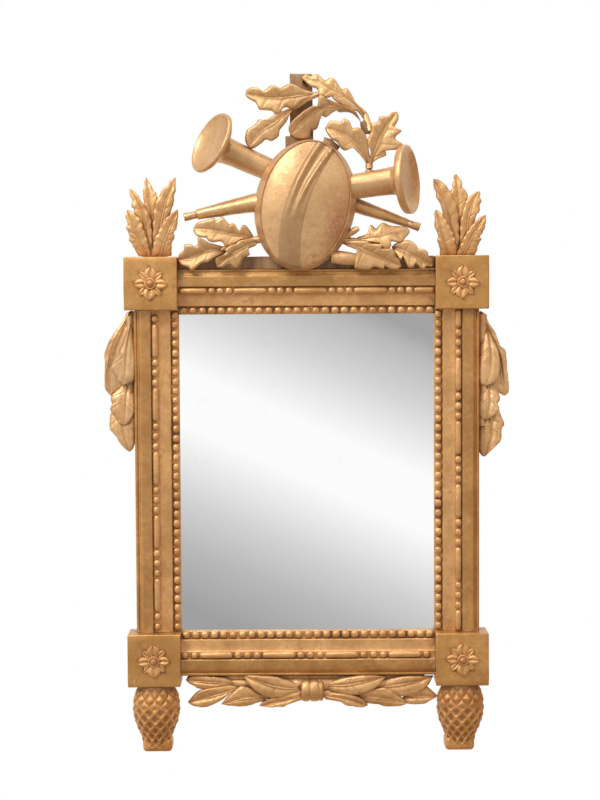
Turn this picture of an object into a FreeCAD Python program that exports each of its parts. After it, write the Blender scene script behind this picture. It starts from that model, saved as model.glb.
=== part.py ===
# A carved giltwood wall mirror: four moulded members tenoned into four corner blocks, a glass plate
# in a rebate, a boarded back with two ring hangers, and carved ornament glued and dowelled on.
# Millimetres. +X right, +Z up, and the mirror faces -Y. The origin is the middle of the glass on the
# wall plane, which is the back of the boarding.
import FreeCAD, Part
import math
import os
from collections import namedtuple
from FreeCAD import Vector

# Frame
SIGHT_W = 326.0            # glass that shows, across
SIGHT_H = 413.0            # glass that shows, up
MEMBER_W = 57.0            # face width of a stile or rail
BLOCK = 68.0               # side of a corner block
BLOCK_D = 46.0             # depth of a corner block
BLOCK_EDGE_R = 2.5         # worn edge round a block's face
LIP_V = 15.0               # height of the rebate's lip above the back of the frame
REBATE_W = 10.0            # width of the rebate
TENON_W = 24.0
TENON_T = 12.0
TENON_L = 20.0
TENON_BACK = 7.0           # wood left behind a tenon
TENON_SHIFT = 6.0          # tenons sit this far outwards of a member's middle, clear of the rebate
JOINT_CLEAR = 0.1          # all round a tenon, and at the end of a dowel
PEG_R = 3.0
PEG_L = 24.0
DOWEL_R = 4.0
DOWEL_L = 28.0
HOLE_CLEAR = 0.05          # between a peg, dowel, nail or spigot and its hole

# Face of a member: u runs from the outer edge to the sight edge, v from the back to the front
EDGE_BEAD_W = 4.4
EDGE_BEAD_V = 27.0
EDGE_BEAD_RISE = 2.4
FILLET_V = 29.0
BAND_U = 7.5               # where the burnished band starts
BAND_W = 15.0
BAND_V = 31.5
REEL_BED_W = 9.0
REEL_BED_V = 27.5
REEL_R = 3.8               # rods of the bead-and-rod moulding
REEL_BEAD_R = 4.2
REEL_BEAD_PITCH = 11.0
REEL_PERIOD = 78.0         # wished length of one rod with its beads
REEL_BEADS = 3             # beads after each rod
FIELD_V_OUT = 25.5         # matt field, sloping down to the pearls
FIELD_V_IN = 21.0
PEARL_BED_W = 10.0
PEARL_BED_V = 19.5
PEARL_R = 4.7
PEARL_PITCH = 12.4         # wished pitch
PEARL_SUNK = 20.0          # degrees of a pearl's ball that lie below its bed
COVE_R = 0.6               # hollow beside the band

# Glass and back
GLASS_T = 4.0
GLASS_CLEAR = 1.0
WEDGE_L = 34.0
WEDGE_TOP = 1.0            # left between a wedge's tip and the sight edge
WEDGE_FOOT = 2.0           # and between its foot and the back
BOARD_T = 9.0
BOARD_LAP = 20.0           # how far the boarding laps over the members
BOARD_COUNT = 3
BOARD_GAP = 0.4
BOARD_BEVEL = 1.5
NAIL_R = 1.1
NAIL_HEAD_R = 2.8
NAIL_HEAD_T = 1.2
NAIL_L = 20.0
NAIL_SINK = 0.3            # head below the board's face

# Ring hangers
STRAP_W = 14.0
STRAP_T = 1.5
STRAP_L = 52.0
STRAP_DROP = 96.0          # pin below the underside of the top corner block
RING_WIRE_R = 2.0
RING_W = 28.0              # outside
RING_H = 25.0              # from the pin's axis to the outside of the bow
PIN_CLEAR = 0.4
SCREW_R = 1.6
SCREW_HEAD_R = 3.1
SCREW_L = 16.0
SCREW_FIRST = 8.0          # from the strap's foot
SCREW_PITCH = 12.0
SCREW_SLOT_W = 0.8
SCREW_SLOT_D = 0.6

# Crest
LEDGE_D = 24.0             # depth of the ledge that carries the crest
POST_W = 29.0
POST_T = 14.0
POST_H = 232.0             # above the ledge
POST_X = -5.0
FLASK_LONG = 83.0          # half-lengths of the flask's oval
FLASK_SHORT = 63.5
FLASK_WALL = 20.0          # straight part of its side
FLASK_EDGE_R = 7.0
FLASK_DOME = 28.0
FLASK_INSET = 8.0          # from the oval's edge to the dome
FLASK_RIB = 5.0            # how far the strap stands out of the dome
FLASK_TILT = 12.0          # degrees, top towards the right
FLASK_X = -1.0
FLASK_Z = 64.0
FLASK_BACK = 34.0          # back of the flask, in front of the wall
FLASK_SEAT = 2.0           # how far the dome starts below the side's upper edge
# Edges of the flask's strap at its top, middle and foot
STRAP_EDGES = ((-24.0, 3.0), (-10.0, 22.0), (-16.0, 14.0))
LEFT_BELL_R = 41.0
LEFT_BELL_L = 20.0
RIGHT_BELL_R = 44.0
RIGHT_BELL_L = 22.0
BELL_LIP = 3.0
BELL_COLLAR = 0.9          # step where the tube enters the bell
MOUTH_L = 17.0
MOUTH_R = 5.4
SPIGOT_R = 3.0
SPIGOT_L = 9.0

# Leaves
LEAF_T = 5.0
LEAF_SWELL = 1.4           # each half of a blade swells this much beside its rib
RIB_GROOVE = 0.8
STEM_W = 5.0

# Feet and garland
FOOT_H = 86.0
FOOT_NECK_R = 24.0
FOOT_BELLY_R = 31.0
FOOT_BELLY_Z = 30.0        # below the block
FOOT_TOE_R = 19.0
FOOT_PLINTH_W = 39.0
FOOT_PLINTH_D = 38.0
FOOT_PLINTH_H = 16.0
FOOT_PLINTH_R = 5.0        # upright corners of the plinth
FOOT_LIFT = 5.0            # the cone's tip, above the plinth's underside
SCALE_PITCH = 11.5
SCALE_GROOVE = 2.2
SCALE_DEPTH = 1.6
SCALE_ANGLE = 42.0
TIE_W = 29.0
TIE_R = 15.5
TIE_GROOVE_R = 1.6
TIE_EDGE_R = 3.0
SPINE_R = 12.5             # garland's stem beside the tie
SPINE_END_R = 6.5
GARLAND_X = 5.0            # the tie hangs this far right of the middle

# Finials
FINIAL_CORE_R = 12.0
FINIAL_CORE_TOP_R = 5.0
FINIAL_CORE_H = 50.0

# Rosettes
ROSETTE_R = 21.0
ROSETTE_BUTTON_R = 6.0
ROSETTE_RISE = 6.5
ROSETTE_RIM = 2.6

# Worked out
HALF_W = SIGHT_W / 2
HALF_H = SIGHT_H / 2
BACK_Y = -BOARD_T                      # back of the frame
BLOCK_FACE_Y = BACK_Y - BLOCK_D
BLOCK_MID_Y = BACK_Y - BLOCK_D / 2
LEDGE_TOP = HALF_H + BLOCK
LEDGE_FACE_Y = BACK_Y - LEDGE_D
STILE_OUT = HALF_W + MEMBER_W
RAIL_OUT = HALF_H + MEMBER_W
BLOCK_X = HALF_W + BLOCK / 2
BLOCK_Z = HALF_H + BLOCK / 2
TENON_MID_U = MEMBER_W / 2 - TENON_SHIFT
FRONT = Vector(0, -1, 0)
UP = Vector(0, 0, 1)
ACROSS = Vector(1, 0, 0)

Leaf = namedtuple("Leaf", "base tip width kind bow cup roll", defaults=("oak", 6.0, 4.0, 0.0))
# kind: scallops on each side, depth of the notches, share of the length where it is widest, round tip
LEAF_KINDS = {
    "oak": (3, 0.30, 0.56, True),
    "laurel": (2, 0.05, 0.45, False),
    "toothed": (6, 0.13, 0.42, False),
}


def box(low, high):
    """A block between two corners."""
    size = high - low
    return Part.makeBox(size.x, size.y, size.z, low)


def face_through(points):
    """A flat face whose outline runs through points; a tuple (middle, end) bulges through middle."""
    edges = []
    here = points[0]
    for step in points[1:] + [points[0]]:
        middle, there = step if isinstance(step, tuple) else (None, step)
        if there.isEqual(here, 1e-6):
            continue
        edge = Part.Arc(here, middle, there) if middle else Part.LineSegment(here, there)
        edges.append(edge.toShape())
        here = there
    return Part.Face(Part.Wire(edges))


def turned(shape, degrees, axis=Vector(0, 1, 0), centre=Vector(0, 0, 0)):
    """A copy of shape turned about an axis."""
    copy = shape.copy()
    copy.rotate(centre, axis, degrees)
    return copy


def mirrored(shape):
    """The same shape on the other side of the mirror's middle."""
    return shape.mirror(Vector(0, 0, 0), ACROSS)


def moved(shape, by):
    copy = shape.copy()
    copy.translate(by)
    return copy


def oriented(along, facing):
    """A matrix that lays local X along `along` and turns local Z as near to `facing` as it can."""
    x = Vector(along).normalize()
    z = (facing - x * facing.dot(x)).normalize()
    y = z.cross(x)
    return FreeCAD.Matrix(x.x, y.x, z.x, 0, x.y, y.y, z.y, 0, x.z, y.z, z.z, 0, 0, 0, 0, 1)


def placed(shape, along, facing, at):
    copy = shape.transformed(oriented(along, facing), True)
    copy.translate(at)
    return copy


def fused(shapes):
    """One solid out of overlapping ones."""
    return shapes[0].fuse(shapes[1:]).removeSplitter()


def rod(start, end, radius):
    return Part.makeCylinder(radius, (end - start).Length, start, end - start)


def twig(start, end, start_r, end_r):
    """A tapering stem with round ends."""
    cone = Part.makeCone(start_r, end_r, (end - start).Length, start, end - start)
    return fused([cone, Part.makeSphere(start_r, start), Part.makeSphere(end_r, end)])


# Members of the frame

def member_point(l, u, v, out):
    """A point of a member at the top: l along it, u in from its outer edge, v up from its back."""
    return Vector(l, BACK_Y - v, out - u)


def member_profile(l, out):
    """The moulded section of a member, as a face across it at l."""
    def at(u, v):
        return member_point(l, u, v, out)
    reel_u = BAND_U + BAND_W
    field_u = reel_u + REEL_BED_W
    pearl_u = MEMBER_W - PEARL_BED_W
    bead_end = at(EDGE_BEAD_W, EDGE_BEAD_V + EDGE_BEAD_RISE / 4)
    bead_top = (at(EDGE_BEAD_W / 2, EDGE_BEAD_V + EDGE_BEAD_RISE), bead_end)
    cove_u = (EDGE_BEAD_W + BAND_U) / 2
    cove = (at(BAND_U - COVE_R, (FILLET_V + BAND_V) / 2 - COVE_R), at(BAND_U, BAND_V))
    return face_through([
        at(0, 0), at(0, EDGE_BEAD_V), bead_top, at(EDGE_BEAD_W, FILLET_V), at(cove_u, FILLET_V), cove,
        at(reel_u, BAND_V), at(reel_u, REEL_BED_V), at(field_u, REEL_BED_V), at(field_u, FIELD_V_OUT),
        at(pearl_u, FIELD_V_IN), at(pearl_u, PEARL_BED_V), at(MEMBER_W, PEARL_BED_V), at(MEMBER_W, LIP_V),
        at(MEMBER_W - REBATE_W, LIP_V), at(MEMBER_W - REBATE_W, 0),
    ])


def pearls(length, out):
    """The string of pearls beside the glass."""
    count = round(length / PEARL_PITCH)
    pitch = length / count
    u = MEMBER_W - PEARL_BED_W / 2
    middles = [member_point(-length / 2 + pitch * (i + 0.5), u, PEARL_BED_V, out) for i in range(count)]
    return [Part.makeSphere(PEARL_R, middle, FRONT, -PEARL_SUNK, 90, 360) for middle in middles]


def beads_and_rods(length, out, lead, tail):
    """The outer string: rods parted by beads, `lead` of them before the first rod and `tail` after the last."""
    rods = max(1, round((length - REEL_BEAD_PITCH * (lead + tail - REEL_BEADS)) / REEL_PERIOD))
    groups = [lead] + [REEL_BEADS] * (rods - 1) + [tail]
    rod_l = (length - REEL_BEAD_PITCH * sum(groups)) / rods
    u = BAND_U + BAND_W + REEL_BED_W / 2
    made = []
    l = -length / 2
    for i, beads in enumerate(groups):
        for bead in range(beads):
            l += REEL_BEAD_PITCH
            middle = member_point(l - REEL_BEAD_PITCH / 2, u, REEL_BED_V, out)
            made.append(Part.makeSphere(REEL_BEAD_R, middle))
        if i < rods:
            ends = [member_point(l + side, u, REEL_BED_V, out) for side in (REEL_R, rod_l - REEL_R)]
            made.append(rod(ends[0], ends[1], REEL_R))
            made += [Part.makeSphere(REEL_R, end) for end in ends]
            l += rod_l
    return made


def tenon_box(length, out, side, grow):
    """The tenon at one end of a member, or its mortise when it is grown by the joint's clearance."""
    low_u, high_u = TENON_MID_U - TENON_W / 2 - grow, TENON_MID_U + TENON_W / 2 + grow
    low_v, high_v = TENON_BACK - grow, TENON_BACK + TENON_T + grow
    reach = length / 2 + TENON_L + grow
    l_from, l_to = sorted((side * length / 2, side * reach))
    return box(member_point(l_from, high_u, high_v, out), member_point(l_to, low_u, low_v, out))


def peg(length, out, side, grow):
    """The peg that pins a tenon, driven in from the back of the block."""
    l = side * (length / 2 + TENON_L / 2)
    start = member_point(l, TENON_MID_U, 0, out)
    return Part.makeCylinder(PEG_R + grow, PEG_L + grow, start, FRONT)


def member(length, out, lead, tail):
    """A stile or rail, laid at the top: moulding, carved beads and a pegged tenon at each end."""
    bar = member_profile(-length / 2, out).extrude(ACROSS * length)
    solid = fused([bar] + [tenon_box(length, out, side, 0) for side in (-1, 1)])
    solid = fused([solid] + pearls(length, out) + beads_and_rods(length, out, lead, tail))
    return solid.cut([peg(length, out, side, HOLE_CLEAR) for side in (-1, 1)])


def joint_pieces(maker, grow):
    """Tenons or pegs of all eight joints, where they lie in the frame."""
    rail = [maker(SIGHT_W, RAIL_OUT, side, grow) for side in (-1, 1)]
    stile = [turned(maker(SIGHT_H, STILE_OUT, side, grow), 90) for side in (-1, 1)]
    return [piece for shape in rail + stile for piece in (shape, turned(shape, 180))]


# Corner blocks and what is dowelled to them

def upright_dowel(x, y, z, grow):
    """A dowel that stands half in the piece above z and half in the piece below it."""
    long = DOWEL_L + 2 * grow
    return Part.makeCylinder(DOWEL_R + grow, long, Vector(x, y, z - long / 2), UP)


def corner_block(side, level, holes):
    """A corner block, with mortises, the glass's corner and its dowel's hole cut out."""
    centre = Vector(side * BLOCK_X, 0, level * BLOCK_Z)
    half = Vector(BLOCK / 2, 0, BLOCK / 2)
    block = box(centre - half + Vector(0, BLOCK_FACE_Y, 0), centre + half + Vector(0, BACK_Y, 0))
    face_edges = [e for e in block.Edges if e.BoundBox.YMax < BLOCK_FACE_Y + 1]
    block = block.makeFillet(BLOCK_EDGE_R, face_edges)
    corner = Vector(side * HALF_W, 0, level * HALF_H)
    notch = Vector(REBATE_W, 0, REBATE_W)
    glass_corner = box(corner - notch + Vector(0, BACK_Y - LIP_V, 0), corner + notch + Vector(0, BACK_Y, 0))
    near = [hole for hole in holes if hole.BoundBox.intersect(block.BoundBox)]
    return block.cut([glass_corner] + near)


def petal_outline(reach, width, waist):
    """A pointed petal from the button outwards, in the local XY plane."""
    root, tip = Vector(waist, 0, 0), Vector(reach, 0, 0)
    middle = (waist + reach) * 0.52
    return face_through([root, (Vector(middle, width / 2, 0), tip), (Vector(middle, -width / 2, 0), root)])


def rosette():
    """A rosette on the local XY plane: four broad petals over four narrow ones, with a button."""
    dome_r = (ROSETTE_R ** 2 + ROSETTE_RISE ** 2) / (2 * ROSETTE_RISE)
    dome = Part.makeSphere(dome_r, Vector(0, 0, ROSETTE_RISE + ROSETTE_RIM - dome_r))
    broad = petal_outline(ROSETTE_R, ROSETTE_R * 0.82, ROSETTE_BUTTON_R * 0.4)
    narrow = petal_outline(ROSETTE_R * 0.94, ROSETTE_R * 0.42, ROSETTE_BUTTON_R * 0.4)
    leaves = []
    for quarter in range(4):
        tall = broad.extrude(UP * ROSETTE_R).common(dome)
        low = narrow.extrude(UP * ROSETTE_R).common(moved(dome, Vector(0, 0, -ROSETTE_RIM / 2)))
        leaves.append(turned(tall, 90 * quarter, UP))
        leaves.append(turned(low, 90 * quarter + 45, UP))
    collar = Part.makeCone(ROSETTE_BUTTON_R * 1.5, ROSETTE_BUTTON_R, ROSETTE_RISE + ROSETTE_RIM / 2)
    button = Part.makeSphere(ROSETTE_BUTTON_R, Vector(0, 0, ROSETTE_RISE - 0.5))
    above = box(Vector(-ROSETTE_R, -ROSETTE_R, 0), Vector(ROSETTE_R, ROSETTE_R, 2 * ROSETTE_R))
    return fused(leaves + [collar, button.common(above)])


# Carved leaves

def blade_half_width(share, width, widest):
    """Half the width of a leaf at a share of its length."""
    power = math.log(0.5) / math.log(widest)
    return width / 2 * math.sin(math.pi * share ** power) ** 0.8


def blade_outline(length, width, kind):
    """The outline of a leaf on the local XY plane, stem at the origin and tip along +X, in arcs."""
    lobes, notch, widest, round_tip = LEAF_KINDS[kind]
    first, last = 0.06, (0.90 if round_tip else 1.0)
    step = (last - first) / lobes
    sides = []
    for side in (-1, 1):
        shares = [first + step * i for i in range(lobes + 1)]
        dents = []
        for i, share in enumerate(shares):
            half = blade_half_width(share, width, widest) * (1 - notch)
            dents.append(Vector(share * length, side * max(half, STEM_W / 2 if i == 0 else 0), 0))
        swells = []
        for share in shares[:-1]:
            middle = share + step * 0.58
            swells.append(Vector(middle * length, side * blade_half_width(middle, width, widest), 0))
        sides.append((dents, swells))
    (right_dents, right_swells), (left_dents, left_swells) = sides
    tip = Vector(length, 0, 0)
    if not round_tip:
        right_dents[-1] = left_dents[-1] = tip
    path = [Vector(0, STEM_W / 2, 0), Vector(0, -STEM_W / 2, 0), right_dents[0]]
    path += list(zip(right_swells, right_dents[1:]))
    if round_tip:
        path.append((tip, left_dents[-1]))
    path += list(zip(reversed(left_swells), reversed(left_dents[:-1])))
    return face_through(path)


def bent_sheet(length, width, bow, cup):
    """A long sheet of gull-wing section, bent so that its middle stands `bow` above its ends."""
    half = width * 0.62
    middle = length / 2

    def at(y, z):
        return Vector(middle, y, bow + z)
    rise = LEAF_SWELL - cup / 4
    section = face_through([
        at(-half, -cup), (at(-half / 2, rise), at(0, -RIB_GROOVE)), (at(half / 2, rise), at(half, -cup)),
        at(half, -cup - LEAF_T), (at(half / 2, rise - LEAF_T), at(0, -RIB_GROOVE - LEAF_T)),
        (at(-half / 2, rise - LEAF_T), at(-half, -cup - LEAF_T)),
    ])
    radius = (middle ** 2 + bow ** 2) / (2 * bow)
    pivot = Vector(middle, 0, bow - radius)
    sweep = math.degrees(math.asin(min(1.0, middle / abs(radius)))) + 8
    section.rotate(pivot, Vector(0, 1, 0), -sweep)
    return section.revolve(pivot, Vector(0, 1, 0), 2 * sweep)


def leaf(spec, anchor):
    """One carved leaf: its outline cut through a bent sheet, laid from base to tip and facing the room."""
    base, tip = anchor + Vector(*spec.base), anchor + Vector(*spec.tip)
    length = (tip - base).Length
    deep = Vector(0, 0, 2 * spec.width)
    cutter = moved(blade_outline(length, spec.width, spec.kind).extrude(deep), deep * -0.5)
    blade = cutter.common(bent_sheet(length, spec.width, spec.bow, spec.cup))
    blade = turned(blade, spec.roll, ACROSS)
    return placed(blade, tip - base, FRONT, base)


def spray(anchor, leaves, twigs):
    """Leaves and stems carved from one piece of wood. A twig is (start, end, start radius, end radius)."""
    stems = [twig(anchor + Vector(*a), anchor + Vector(*b), ra, rb) for a, b, ra, rb in twigs]
    return fused([leaf(spec, anchor) for spec in leaves] + stems)


# Crest

def horn(points, radii, bell_axis, bell_r, bell_l):
    """A hunting horn: a tube that swells along a bend through three points, and a dished, flared bell."""
    start, bend, neck = points
    steps = len(radii) - 1
    rings = []
    for i, radius in enumerate(radii):
        t = i / steps
        centre = start * (1 - t) ** 2 + bend * (2 * t * (1 - t)) + neck * t ** 2
        along = (bend - start) * (1 - t) + (neck - bend) * t
        rings.append(Part.Wire(Part.Circle(centre, along, radius).toShape()))
    tube = Part.makeLoft(rings, True)
    collar_r = radii[-1] + BELL_COLLAR
    collar = -collar_r / 2
    flare = (Vector(collar_r + (bell_r - collar_r) * 0.24, 0, bell_l * 0.66), Vector(bell_r, 0, bell_l))
    lip_in = Vector(bell_r - BELL_LIP, 0, bell_l + BELL_LIP)
    lip = (Vector(bell_r + BELL_LIP / 3, 0, bell_l + BELL_LIP / 2), lip_in)
    dish_r, dish_z = bell_r - BELL_LIP, bell_l * 0.74
    deep = bell_l + BELL_LIP - dish_z
    round_r = (dish_r ** 2 + deep ** 2) / (2 * deep)
    half_turn = math.asin(dish_r / round_r) / 2
    dish_middle = Vector(round_r * math.sin(half_turn), 0, dish_z + round_r * (1 - math.cos(half_turn)))
    dish = (dish_middle, Vector(0, 0, dish_z))
    outline = [Vector(0, 0, collar), Vector(collar_r, 0, collar), Vector(collar_r, 0, 0)]
    outline += [flare, lip, dish]
    bell = face_through(outline).revolve(Vector(0, 0, 0), UP, 360)
    turn = oriented(bell_axis.cross(UP), bell_axis)
    bell = moved(bell.transformed(turn, True), neck - bell_axis * BELL_COLLAR * 2)
    return fused([tube, bell])


def mouthpiece(end, along):
    """A plain turned mouthpiece and the spigot that holds it in the horn's end."""
    along = Vector(along).normalize()
    stub = Part.makeCone(MOUTH_R * 0.86, MOUTH_R, MOUTH_L, end, along)
    return fused([stub, rod(end + along * 0.5, end - along * SPIGOT_L, SPIGOT_R)])


def ellipsoid(long, short, high, centre):
    stretch = FreeCAD.Matrix()
    stretch.scale(long, short, high)
    return moved(Part.makeSphere(1.0).transformGeometry(stretch), centre)


def flask():
    """The oval, domed flask with its strap as a bent rib, made face up and then hung in place."""
    oval = Part.Face(Part.Wire(Part.Ellipse(Vector(0, 0, 0), FLASK_LONG, FLASK_SHORT).toShape()))
    body = oval.extrude(UP * FLASK_WALL)
    rim = [e for e in body.Edges if e.BoundBox.ZMin > FLASK_WALL - 0.1]
    body = body.makeFillet(FLASK_EDGE_R, rim)
    seat = Vector(0, 0, FLASK_WALL - FLASK_SEAT)
    inset = FLASK_INSET
    dome = ellipsoid(FLASK_LONG - inset, FLASK_SHORT - inset, FLASK_DOME, seat)
    proud = ellipsoid(FLASK_LONG - inset / 2, FLASK_SHORT - inset / 2, FLASK_DOME + FLASK_RIB, seat)
    reach = FLASK_LONG + FLASK_SEAT
    top, middle, foot = STRAP_EDGES
    strap = face_through([
        Vector(reach, top[0], 0), (Vector(0, middle[0], 0), Vector(-reach, foot[0], 0)),
        Vector(-reach, foot[1], 0), (Vector(0, middle[1], 0), Vector(reach, top[1], 0)),
    ]).extrude(UP * (FLASK_WALL + FLASK_DOME + 2 * FLASK_RIB))
    above = box(Vector(-reach, -reach, FLASK_WALL / 2), Vector(reach, reach, 4 * FLASK_DOME))
    solid = fused([body, dome.common(above), proud.common(strap).common(above)])
    lean = math.radians(FLASK_TILT)
    upward = Vector(math.sin(lean), 0, math.cos(lean))
    return placed(solid, upward, FRONT, Vector(FLASK_X, -FLASK_BACK, LEDGE_TOP + FLASK_Z))


# Feet and garland

def foot_profile(shrink):
    """Half the outline of a pine cone, neck at z = 0 and toe at the foot."""
    neck, belly, toe = FOOT_NECK_R - shrink, FOOT_BELLY_R - shrink, FOOT_TOE_R - shrink
    tip_z = -FOOT_H + FOOT_LIFT + shrink
    toe_z = tip_z * 0.9
    shoulder = Vector(neck + (belly - neck) * 0.72, 0, -FOOT_BELLY_Z * 0.42)
    flank = Vector(toe + (belly - toe) * 0.70, 0, (toe_z - FOOT_BELLY_Z) * 0.54)
    return face_through([
        Vector(0, 0, 0), Vector(neck, 0, 0), (shoulder, Vector(belly, 0, -FOOT_BELLY_Z)),
        (flank, Vector(toe, 0, toe_z)),
        (Vector(toe * 0.62, 0, (toe_z + 3 * tip_z) / 4), Vector(0, 0, tip_z)),
    ])


def pine_cone_foot():
    """A pine cone hanging from z = 0 on a flat plinth, its scales parted by crossing grooves."""
    cone = foot_profile(0).revolve(Vector(0, 0, 0), UP, 360)
    core = foot_profile(SCALE_DEPTH).revolve(Vector(0, 0, 0), UP, 360)
    count = math.ceil(FOOT_H / SCALE_PITCH / 2)
    reach = FOOT_H
    neck_room = box(Vector(-reach, -reach, -6), Vector(reach, reach, 1))
    skin = cone.cut([core, neck_room])
    slab = box(Vector(-reach, -reach, -SCALE_GROOVE / 2), Vector(reach, reach, SCALE_GROOVE / 2))
    row = [moved(slab, Vector(0, 0, i * SCALE_PITCH)) for i in range(-count, count + 1)]
    scaled = cone
    for lean in (-SCALE_ANGLE, SCALE_ANGLE):
        leaning = [moved(turned(groove, lean), Vector(0, 0, -FOOT_H / 2)) for groove in row]
        scaled = scaled.cut(skin.common(leaning))
    half = Vector(FOOT_PLINTH_W / 2, FOOT_PLINTH_D / 2, 0)
    plinth = box(-half - UP * FOOT_H, half - UP * (FOOT_H - FOOT_PLINTH_H))
    upright = [e for e in plinth.Edges if abs(e.BoundBox.ZLength - FOOT_PLINTH_H) < 0.1]
    return fused([scaled, plinth.makeFillet(FOOT_PLINTH_R, upright)])


def export(name, shape):
    """Checks one piece and writes it."""
    solids = shape.Solids
    good = all(s.isValid() and s.Volume > 0 for s in solids)
    volume = sum(s.Volume for s in solids) / 1000
    print(f"{name}: {len(solids)} solid(s), {volume:.1f} cm3, {'ok' if good else 'BAD'}")
    whole = solids[0] if len(solids) == 1 else Part.makeCompound(solids)
    whole.exportStep(f"parts/{name}.step")


def main_solid(shape):
    """The largest solid of a shape, without the crumbs that a cut leaves."""
    return max(shape.Solids, key=lambda solid: solid.Volume)


def carved_round(shape, neighbours):
    """What is left of a carving once it is cut to seat on its neighbours: its one main solid."""
    return main_solid(shape.cut(neighbours))


def both_sides(left):
    """A left-hand piece and its right-hand twin."""
    return {"left": left, "right": mirrored(left)}


# Frame, joints and glass

os.makedirs("parts", exist_ok=True)
SIDES = {"left": -1, "right": 1}
LEVELS = {"top": 1, "bottom": -1}

peg_shapes = joint_pieces(peg, 0)
mortises = joint_pieces(tenon_box, JOINT_CLEAR) + joint_pieces(peg, HOLE_CLEAR)

ledge_mid_y = BACK_Y - LEDGE_D / 2
post_mid_y = BACK_Y - POST_T / 2
crest_places = [(side * SIGHT_W / 3, ledge_mid_y, RAIL_OUT) for side in SIDES.values()]
crest_places.append((POST_X, post_mid_y, LEDGE_TOP))
finial_places = [(side * BLOCK_X, BLOCK_MID_Y, LEDGE_TOP) for side in SIDES.values()]
foot_places = [(side * BLOCK_X, BLOCK_MID_Y, -LEDGE_TOP) for side in SIDES.values()]
dowel_holes = [upright_dowel(*place, HOLE_CLEAR) for place in crest_places + finial_places + foot_places]


def nail(x, z, grow):
    """A nail through the boarding into the frame; the hole of a grown one is open to the back."""
    head = Vector(x, -NAIL_SINK, z)
    head_top = head + Vector(0, NAIL_SINK if grow else 0, 0)
    shank = rod(head, head + FRONT * (NAIL_L + grow), NAIL_R + grow)
    return fused([shank, rod(head_top, head + FRONT * (NAIL_HEAD_T + grow), NAIL_HEAD_R + grow)])


nail_line = (REBATE_W + BOARD_LAP) / 2
board_w = (SIGHT_W + 2 * BOARD_LAP) / BOARD_COUNT
nail_places = []
for i in range(BOARD_COUNT):
    middle = (i - (BOARD_COUNT - 1) / 2) * board_w
    for x in (middle - board_w / 4, middle + board_w / 4):
        nail_places += [(x, HALF_H + nail_line), (x, -HALF_H - nail_line)]
for side in SIDES.values():
    nail_places += [(side * (HALF_W + nail_line), z) for z in (-SIGHT_H / 3, 0, SIGHT_H / 3)]
nails = [nail(x, z, 0) for x, z in nail_places]
nail_holes = [nail(x, z, HOLE_CLEAR) for x, z in nail_places]

strap_x = (HALF_W + BOARD_LAP + STILE_OUT) / 2
pin_r = RING_WIRE_R + PIN_CLEAR                       # inside of the strap's knuckle
pin_y = BACK_Y + pin_r + STRAP_T
pin_z = HALF_H - STRAP_DROP
strap_foot = pin_z - STRAP_L


def screw(x, z, grow):
    """A countersunk, slotted screw, its head flush with the strap."""
    head = Vector(x, BACK_Y + STRAP_T, z)
    cone = Part.makeCone(SCREW_HEAD_R + grow, SCREW_R + grow, STRAP_T + grow, head, FRONT)
    whole = fused([cone, rod(head, head + FRONT * (SCREW_L + grow), SCREW_R + grow)])
    across = Vector(SCREW_HEAD_R, SCREW_SLOT_D, SCREW_SLOT_W / 2)
    slot = box(head - across, head + across)
    return whole if grow else whole.cut(slot)


screw_levels = [strap_foot + SCREW_FIRST + i * SCREW_PITCH for i in range(2)]
screw_places = [(side * strap_x, z) for side in SIDES.values() for z in screw_levels]
screws = [screw(x, z, 0) for x, z in screw_places]
screw_holes = [screw(x, z, HOLE_CLEAR) for x, z in screw_places]

top_rail = member(SIGHT_W, RAIL_OUT, 0, 0)
bottom_rail = turned(member(SIGHT_W, RAIL_OUT, 1, REEL_BEADS), 180)
right_stile = turned(member(SIGHT_H, STILE_OUT, 1, REEL_BEADS), 90)
stiles = {"right": right_stile, "left": mirrored(right_stile)}


def drilled(shape, holes):
    """A shape with every hole cut that reaches it."""
    return shape.cut([hole for hole in holes if hole.BoundBox.intersect(shape.BoundBox)])


top_rail = drilled(top_rail, nail_holes + dowel_holes)
bottom_rail = drilled(bottom_rail, nail_holes)
export("top_rail", top_rail)
export("bottom_rail", bottom_rail)
for side, stile in stiles.items():
    stiles[side] = drilled(stile, nail_holes + screw_holes)
    export(f"{side}_stile", stiles[side])

blocks = {}
for level, z_sign in LEVELS.items():
    for side, x_sign in SIDES.items():
        name = f"{level}_{side}"
        blocks[name] = corner_block(x_sign, z_sign, mortises + dowel_holes)
        export(f"corner_block_{name}", blocks[name])
        place = Vector(x_sign * BLOCK_X, BLOCK_FACE_Y, z_sign * BLOCK_Z)
        export(f"rosette_{name}", placed(rosette(), ACROSS, FRONT, place))
export("joint_pegs", Part.makeCompound(peg_shapes))

glass_half = Vector(HALF_W + REBATE_W - GLASS_CLEAR, 0, HALF_H + REBATE_W - GLASS_CLEAR)
glass_front = Vector(0, BACK_Y - LIP_V, 0)
export("mirror_plate", box(glass_front - glass_half, glass_front + glass_half + Vector(0, GLASS_T, 0)))


def wedge(l, out):
    """A rubbed block that keeps the glass in its rebate, laid in the top rail."""
    wall_u, tail_v = MEMBER_W - REBATE_W, LIP_V - GLASS_T
    corners = [(wall_u, tail_v), (wall_u, WEDGE_FOOT), (MEMBER_W - WEDGE_TOP, tail_v)]
    section = face_through([member_point(l - WEDGE_L / 2, u, v, out) for u, v in corners])
    return section.extrude(ACROSS * WEDGE_L)


rail_wedges = [wedge(l, RAIL_OUT) for l in (-SIGHT_W / 4, SIGHT_W / 4)]
stile_wedges = [turned(wedge(l, STILE_OUT), 90) for l in (-SIGHT_H / 3, 0, SIGHT_H / 3)]
wedges = [piece for shape in rail_wedges + stile_wedges for piece in (shape, turned(shape, 180))]
export("glass_wedges", Part.makeCompound(wedges))

# Boarding and hangers

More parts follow.
